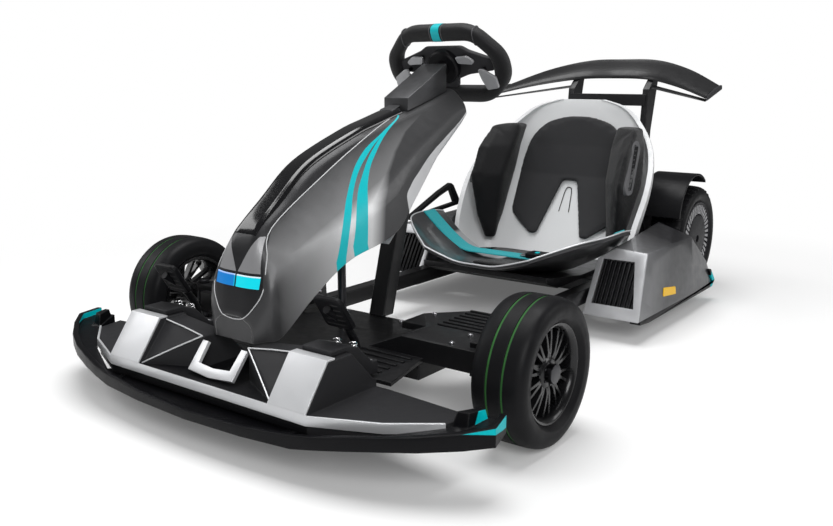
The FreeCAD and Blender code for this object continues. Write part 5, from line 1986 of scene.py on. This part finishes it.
    def build_louvres(self, surface: BVHTree) -> None:
        """Grey-framed slot with louvres on each bolster's outer face.

        Args:
            surface: the bolsters.
        """
        rim = [(359, 370), (381, 375), (389, 357), (330, 262), (308, 260), (303, 277)]
        mouth = [(365, 366), (378, 360), (326, 271), (315, 271)]
        frames, holes, blades = Shape(), Shape(), Shape()
        for side, _ in SIDES:
            low, rear, top = (surface.ray_cast(at(400 * side, y, z), Vector((-side, 0, 0)))[0]
                              for y, z in ((312, 285), (372, 300), (385, 368)))
            tilt = (rear - low).cross(top - low).normalized()

            def on_face(y: float, z: float, out: float) -> Vector:
                """Point of the face's plane.

                Args:
                    y, z: the point's station and height in millimetres.
                    out: how far outwards, in millimetres.

                Returns:
                    The point in the frame.
                """
                spot = at(0, y, z)
                spot.x = low.x - (tilt.y * (spot.y - low.y) + tilt.z * (spot.z - low.z)) / tilt.x
                return spot + Vector((out * side / 1000, 0, 0))
            for form, outline, radius, out in ((frames, rim, 8, 4.2), (holes, mouth, 2, 4.7)):
                soft = round_outline(outline, radius)
                form.loft([[on_face(y, z, level) for y, z in soft] for level in (-6, out)])
            (top_y, top_z), (low_y, low_z) = mouth[0], mouth[3]
            for k in range(10):
                share = (k + 0.5) / 10
                y, z = low_y + (top_y - low_y) * share, low_z + (top_z - low_z) * share
                base = on_face(y, z, 4.4)
                blade = ((0, 0), (0.009, 0.0005), (0.009, 0.0030), (0, 0.0025))
                blades.block([base + Vector((0, run, rise)) for run, rise in blade],
                             Vector((0.0012 * side, 0, 0)))
        frames.piece("louvre_frames", Finishes.louvre, bevel=0.0012)
        holes.piece("louvre_holes", Finishes.gloss)
        blades.piece("louvre_blades", Finishes.charcoal)

    def build_slot(self) -> None:
        """Small hoop groove in the pad's notch."""
        surface = surface_of("seat_shell")
        line = [(-13, 196), (-9, 240), (-6, 252), (6, 252), (9, 240), (13, 196)]
        path = []
        for x, z in line:
            hit = surface.ray_cast(at(x, 200, z), Vector((0, 1, 0)))[0]
            path.append(hit + Vector((0, -0.0004, 0)))
        hoop = Shape()
        hoop.tube(arc_line(path, 0.008, 4), 0.0011, 8)
        hoop.piece("shell_hoop", Finishes.gloss, smooth=60)


@dataclass
class Cushion:
    """Padded piece in a CAD soft solid's place, swollen by a cloth simulation."""

    name: str
    node: str
    finish: Finish
    carrier: str
    form: bmesh.types.BMesh
    voxel: float
    cap: float
    pressure: float = 4.0
    hold: float = 0.0035
    frames: int = 20

    def build(self) -> bpy.types.Object:
        """Returns:
            The finished cushion.
        """
        mesh = bpy.data.meshes.new(self.name)
        self.form.to_mesh(mesh)
        self.form.free()
        piece = linked(self.name, mesh)
        even = piece.modifiers.new("even", "REMESH")
        even.mode = "VOXEL"
        even.voxel_size = self.voxel
        piece.data = baked(piece)
        self.swell(piece)
        soft = piece.modifiers.new("soft", "SUBSURF")
        soft.levels = soft.render_levels = 1
        relax = piece.modifiers.new("relax", "SMOOTH")
        relax.factor = 0.5
        relax.iterations = 12
        piece.data = baked(piece)
        piece.data.materials.clear()
        piece.data.materials.append(self.finish.material())
        piece.data.shade_smooth()
        settle(piece, self.node)
        LOG.info("made %s", self.name)
        return piece

    def swell(self, piece: bpy.types.Object) -> None:
        """Blows the form up with cloth pressure; points near the carrier stay where they are.

        Args:
            piece: the cushion.
        """
        start = [v.co.copy() for v in piece.data.vertices]
        carrier = surface_of(self.carrier)
        held = piece.vertex_groups.new(name="held")
        for number, point in enumerate(start):
            if carrier.find_nearest(point)[3] < self.hold:
                held.add([number], 1.0, "REPLACE")
        cloth = piece.modifiers.new("cloth", "CLOTH").settings
        cloth.quality = 5
        cloth.mass = 0.3
        cloth.use_pressure = True
        cloth.uniform_pressure_force = self.pressure
        cloth.effector_weights.gravity = 0
        cloth.vertex_group_mass = held.name
        scene = bpy.context.scene
        for number in range(1, self.frames + 1):
            scene.frame_set(number)
        graph = bpy.context.evaluated_depsgraph_get()
        swollen = [v.co.copy() for v in piece.evaluated_get(graph).data.vertices]
        piece.modifiers.clear()
        piece.vertex_groups.clear()
        for vertex, before, after in zip(piece.data.vertices, start, swollen):
            move = after - before
            if move.length > self.cap:
                move *= self.cap / move.length
            vertex.co = before + move
        scene.frame_set(1)


@dataclass
class Belt:
    """Flat lap strap over the tray's flanks, with its buckle."""

    row: Sequence[float]
    y_mid: float = 194.0
    width: float = 43.0
    thick: float = 2.4

    def build(self) -> None:
        """Makes the strap with its weave coordinates, and the buckle."""
        y, rim, rim_z, knee, knee_z, floor, floor_z = self.row
        lift = 1.6
        mid_z = floor_z + 15
        mid_x = floor + (knee - floor) * (mid_z - floor_z) / (knee_z - floor_z)
        half = [Vector((rim - 3, 0, rim_z - 2 + lift)), Vector((knee, 0, knee_z + lift)),
                Vector((mid_x, 0, mid_z + lift))]
        line = arc_line(half + mirrored(half), 34, 8)
        # the strap's cross section: share of its width and of its thickness
        section = ((-0.5, 0), (-0.48, 1), (-0.2, 1), (0.2, 1), (0.48, 1), (0.5, 0), (0.2, 0), (-0.2, 0))
        rows, uvs, far = [], [], 0.0
        for i, p in enumerate(line):
            if i:
                far += (p - line[i - 1]).length / 1000
            ahead = (line[min(i + 1, len(line) - 1)] - line[max(i - 1, 0)]).normalized()
            up = Vector((ahead.z, 0, -ahead.x))
            spots = [(p + up * self.thick * high, across * self.width) for across, high in section]
            rows.append([at(spot.x, self.y_mid + across, spot.z) for spot, across in spots])
            uvs += [(far, across / 1000) for _, across in spots]
        form = Shape()
        form.loft(rows)
        mesh = bpy.data.meshes.new("lap_strap")
        mesh.from_pydata([tuple(c) for c in form.corners], [], form.faces)
        layer = mesh.uv_layers.new(name="weave")
        for loop in mesh.loops:
            layer.data[loop.index].uv = uvs[loop.vertex_index]
        tidy(mesh)
        mesh.shade_smooth()
        mesh.set_sharp_from_angle(angle=math.radians(40))
        mesh.materials.append(Finishes.strap.material())
        settle(linked("lap_strap", mesh), "lap_belt")
        self.build_buckle(mid_z + lift + self.thick)

    def build_buckle(self, base: float) -> None:
        """Rounded black housing with a teal button and a steel tongue.

        Args:
            base: height of the strap's upper face in millimetres.
        """
        def slab(x0: float, x1: float, half: float, low: float, high: float, radius: float) -> Shape:
            """Rounded block across the strap's middle.

            Args:
                x0, x1, half: its ends across the kart and its half length, in millimetres.
                low, high: levels above the strap.
                radius: reach of its corners.

            Returns:
                The block's form.
            """
            y0, y1 = self.y_mid - half, self.y_mid + half
            outline = round_outline([(x0, y0), (x1, y0), (x1, y1), (x0, y1)], radius, 4)
            form = Shape()
            form.loft([[at(x, y, base + z) for x, y in outline] for z in (low, high)])
            return form
        housing, button = slab(30, 78, 20, 0.3, 11, 6), slab(46, 56, 6, 10.5, 12, 4)
        tongue = slab(14, 31, 14, 2.6, 4.8, 3)
        settle(housing.piece("buckle_housing", Finishes.black, bevel=0.002, steps=3), "belt_buckle")
        button.piece("buckle_button", Finishes.teal, bevel=0.0006)
        tongue.piece("buckle_tongue", Finishes.steel, bevel=0.0006)


# Rear end
@dataclass
class RearEnd:
    """Pods, skirts, fenders, power unit, wing and hand lever."""

    axle_y: float = 623.0
    wing: tuple = (
        # x, lower front y behind the axle, z, upper rear y behind the axle, z
        (0, 32, 505.5, 91, 550.5),
        (94, 28, 502.5, 90, 547.5),
        (190, -28, 486, 52, 524),
        (280, -91, 462, 3, 486),
    )

    def build(self) -> None:
        """Makes every piece behind the seat."""
        for _, name in SIDES:
            soften("rear_pod_" + name, Finishes.pod, 3.5)
        soften("pod_grilles", Finishes.slat, 0.8, 2)
        soften("rear_skirts", Finishes.skirt, 1.5)
        soften("fenders", Finishes.black, 1.8)
        soften("rear_unit", Finishes.frame_paint, 4.0)
        soften("hand_lever", Finishes.black, 4.0, 4)
        soften("wing_mount", Finishes.carbon, 2.0)
        self.build_wing()
        self.build_reflectors()
        self.build_fins()

    def build_wing(self) -> None:
        """Smooth plane with a rounded nose, a raised rear lip and folded tips."""
        right = [(-x, *rest) for x, *rest in self.wing[:0:-1]]
        rows = spline(right + [list(row) for row in self.wing], 8)
        # share of the way back and height above it
        profile = [(0.0, 0.0), (0.02, 3.2), (0.08, 6.0), (0.25, 8.4), (0.5, 7.6), (0.75, 5.4), (0.93, 4.0),
                   (0.985, 4.6), (1.0, 3.4), (1.0, 0.2), (0.6, 0.0), (0.2, -0.4)]
        sections = []
        for x, front_y, front_z, rear_y, rear_z in rows:
            front = Vector((x, self.axle_y + front_y, front_z))
            rear = Vector((x, self.axle_y + rear_y, rear_z))
            run = rear - front
            up = Vector((0, -run.z, run.y)).normalized()
            sections.append([at(*(front + run * share + up * high)) for share, high in profile])
        plane = Shape()
        plane.loft(sections)
        settle(plane.piece("wing_plane", Finishes.carbon, smooth=42), "wing")
        tips = Shape()
        for side, _ in SIDES:
            outline = [(-93, 459), (5, 483), (4, 492), (-30, 487), (-84, 471)]
            tips.loft([[at(x * side, self.axle_y + y + back, z - drop) for y, z in outline]
                       for x, back, drop in ((280.5, 0, 0), (284, 2, 1.5))])
        tips.piece("wing_tips", Finishes.charcoal, bevel=0.001)
        puck = Shape()
        puck.lathe([(430, 0.1), (430, 15), (434, 17), (438, 17), (440.5, 14), (440.5, 0.1)],
                   Vector((0, self.axle_y + 5, 0)), 32, Turn.UPRIGHT)
        puck.corners = [at(*c) for c in puck.corners]
        puck.piece("bar_puck", Finishes.black)

    def build_reflectors(self) -> None:
        """Yellow reflector low on each pod's side."""
        for side, name in SIDES:
            surface = surface_of("rear_pod_" + name)
            outline = round_outline([(234, 73), (300, 66), (300, 82), (240, 90)], 3)
            sections = []
            inward = Vector((-side, 0, 0))
            for out in (-0.0005, 0.0014):
                sections.append([surface.ray_cast(at(500 * side, y, z), inward)[0] - inward * out
                                 for y, z in outline])
            plate = Shape()
            plate.loft(sections)
            plate.piece("reflector_" + name, Finishes.yellow, bevel=0.0004)

    def build_fins(self) -> None:
        """Cooling fins along the power unit's top."""
        fins = Shape()
        outline = ((470, 182), (636, 182), (630, 187.5), (476, 187.5))
        for k in range(11):
            fins.block([at(-80 + 16 * k, y, z) for y, z in outline], Vector((0.003, 0, 0)))
        fins.piece("unit_fins", Finishes.dark_steel, bevel=0.0006)


# Frame
@dataclass
class Frame:
    """Rails, floor, post, cover, knuckles and their screws."""

    def build(self) -> None:
        """Softens the frame's pieces and sets the screws."""
        soften("frame_rails", Finishes.frame_paint, 2.5)
        soften("floor_pan", Finishes.frame_paint, 1.4, 2)
        soften("column_post", Finishes.frame_paint, 2.5)
        soften("column_cover", Finishes.cover_grey, 3.0)
        soften("nose_liner", Finishes.liner, 0.6, 2)
        for _, name in SIDES:
            soften("knuckle_" + name, Finishes.dark_steel, 1.0, 2)
            soften("tie_rod_" + name, Finishes.dark_steel, 0.6, 2)
        soften("steering_shaft", Finishes.dark_steel, 0.6, 2)
        self.build_screws()

    def build_screws(self) -> None:
        """Hexagon-socket screws on the floor pan."""
        head = Shape()
        head.lathe([(0.0, 0.0001), (0.0, 0.0042), (0.0028, 0.0042), (0.0036, 0.0034), (0.0036, 0.0019),
                    (0.0016, 0.0018), (0.0016, 0.0001)], Vector((0, 0, 0)), 18, Turn.UPRIGHT)
        up = Vector((0, 0, 1))
        pan = surface_of("floor_pan")
        places = [(x, y) for x in (130, 60, -60, -130) for y in (-536, -300)]
        places += [(x, y) for x in (250, -250) for y in (-425, -375)]
        hits = [pan.ray_cast(at(x, y, 300), -up)[0] for x, y in places]
        spots = [(hit, up) for hit in hits if hit]
        placed_copies("floor_screws", head, spots, Finishes.steel, "chassis")


# Studio
@dataclass
class Studio:
    """Pale floor, soft lamps and the camera."""

    eye: Point = (940.7, -1442.3, 514.3)
    yaw: float = 36.615
    pitch: float = 12.211
    focal_px: float = 869.2
    image_width: int = 833
    sensor: float = 36.0
    # name, place, size, power and aim
    lamps: tuple = (
        ("key", (-0.2, 0.0, 3.2), 2.2, 88.0, (0, 0, 0.2)),
        ("front", (2.1, -2.3, 1.9), 1.4, 48.0, (0, 0, 0.25)),
        ("flank", (-2.6, -1.2, 1.8), 1.6, 24.0, (0, 0, 0.2)),
        ("rim", (2.4, 1.6, 1.4), 1.2, 16.0, (0, 0.2, 0.2)),
    )
    floor_reach: float = 30.0
    floor_lift: float = 0.12
    fade_from: float = 0.85
    fade_to: float = 1.6
    ambient: float = 0.13

    def build(self) -> None:
        """Makes the camera, the lamps, the world and the floor."""
        self.build_camera()
        self.build_floor()
        self.build_world()
        for name, spot, size, power, aim in self.lamps:
            self.build_lamp(name, Vector(spot), size, power, Vector(aim))

    def build_camera(self) -> None:
        """Camera at the photograph's place and angle."""
        data = bpy.data.cameras.new("camera")
        data.sensor_width = self.sensor
        data.lens = self.focal_px * self.sensor / self.image_width
        data.clip_start = 0.05
        camera = linked("camera", data)
        yaw, pitch = math.radians(self.yaw), math.radians(self.pitch)
        ahead = Vector((-math.sin(yaw) * math.cos(pitch), math.cos(yaw) * math.cos(pitch), -math.sin(pitch)))
        right = Vector((math.cos(yaw), math.sin(yaw), 0))
        up = right.cross(ahead)
        turn = Matrix((right, up, -ahead)).transposed().to_4x4()
        camera.matrix_world = Matrix.Translation(at(*self.eye)) @ turn
        bpy.context.scene.camera = camera

    def build_lamp(self, name: str, spot: Vector, size: float, power: float, aim: Vector) -> None:
        """Square soft lamp that points at a spot.

        Args:
            name: its name.
            spot: its place.
            size: its side in metres.
            power: watts.
            aim: where it points.
        """
        data = bpy.data.lights.new(name, "AREA")
        data.size = size
        data.energy = power
        lamp = linked(name, data)
        lamp.location = spot
        lamp.rotation_mode = "QUATERNION"
        lamp.rotation_quaternion = (aim - spot).to_track_quat("-Z", "Y")

    def build_floor(self) -> None:
        """Wide floor that looks white and keeps the shadow."""
        reach = self.floor_reach
        mesh = bpy.data.meshes.new("floor")
        mesh.from_pydata([(x * reach, y * reach, -0.0005) for x, y in ((-1, -1), (1, -1), (1, 1), (-1, 1))],
                         [], [(0, 1, 2, 3)])
        graph = Graph("floor_white")
        graph.put("Roughness", 1.0)
        graph.put("Specular IOR Level", 0.0)
        graph.put("Emission Color", (1, 1, 1, 1))
        seen = graph.node("LightPath").outputs["Is Camera Ray"]
        x, y, _ = graph.axes()
        far = graph.calc("SQRT", graph.calc("ADD", graph.times(x, x), graph.times(y, y)))
        away = graph.node("MapRange", {"Value": far, "From Min": self.fade_from, "From Max": self.fade_to},
                          interpolation_type="SMOOTHSTEP")
        fade = graph.times(away.outputs[0], seen)
        tone = graph.blend(fade, (0.80, 0.80, 0.80), (0.0, 0.0, 0.0))
        graph.put("Base Color", tone)
        glow = graph.calc("MULTIPLY_ADD", fade, 1.0 - self.floor_lift, self.floor_lift)
        graph.put("Emission Strength", graph.times(seen, glow))
        mesh.materials.append(graph.material)
        floor = linked("floor", mesh)

    def build_world(self) -> None:
        """Even pale surroundings."""
        world = bpy.data.worlds.new("surroundings")
        world.use_nodes = True
        back = world.node_tree.nodes["Background"]
        back.inputs["Color"].default_value = (1, 1, 1, 1)
        nodes = Maker(world.node_tree)
        seen = nodes.node("LightPath").outputs["Is Camera Ray"]
        strength = nodes.node("MapRange", {"Value": seen, "To Min": self.ambient, "To Max": 1.0})
        nodes.feed(back.inputs["Strength"], strength.outputs[0])
        bpy.context.scene.world = world
        bpy.context.scene.view_settings.view_transform = "Standard"


def main() -> None:
    """Builds every sub-assembly."""
    logging.basicConfig(level=logging.INFO, format="%(message)s")
    Studio().build()
    for side, name in SIDES:
        FrontWheel(side, name).build()
        RearWheel(side, name).build()
    for part in (Frame(), NoseFairing(), SteeringWheel(), FrontEnd(), Seat(), RearEnd()):
        part.build()
    bpy.context.view_layer.update()


if __name__ == "__main__":
    main()
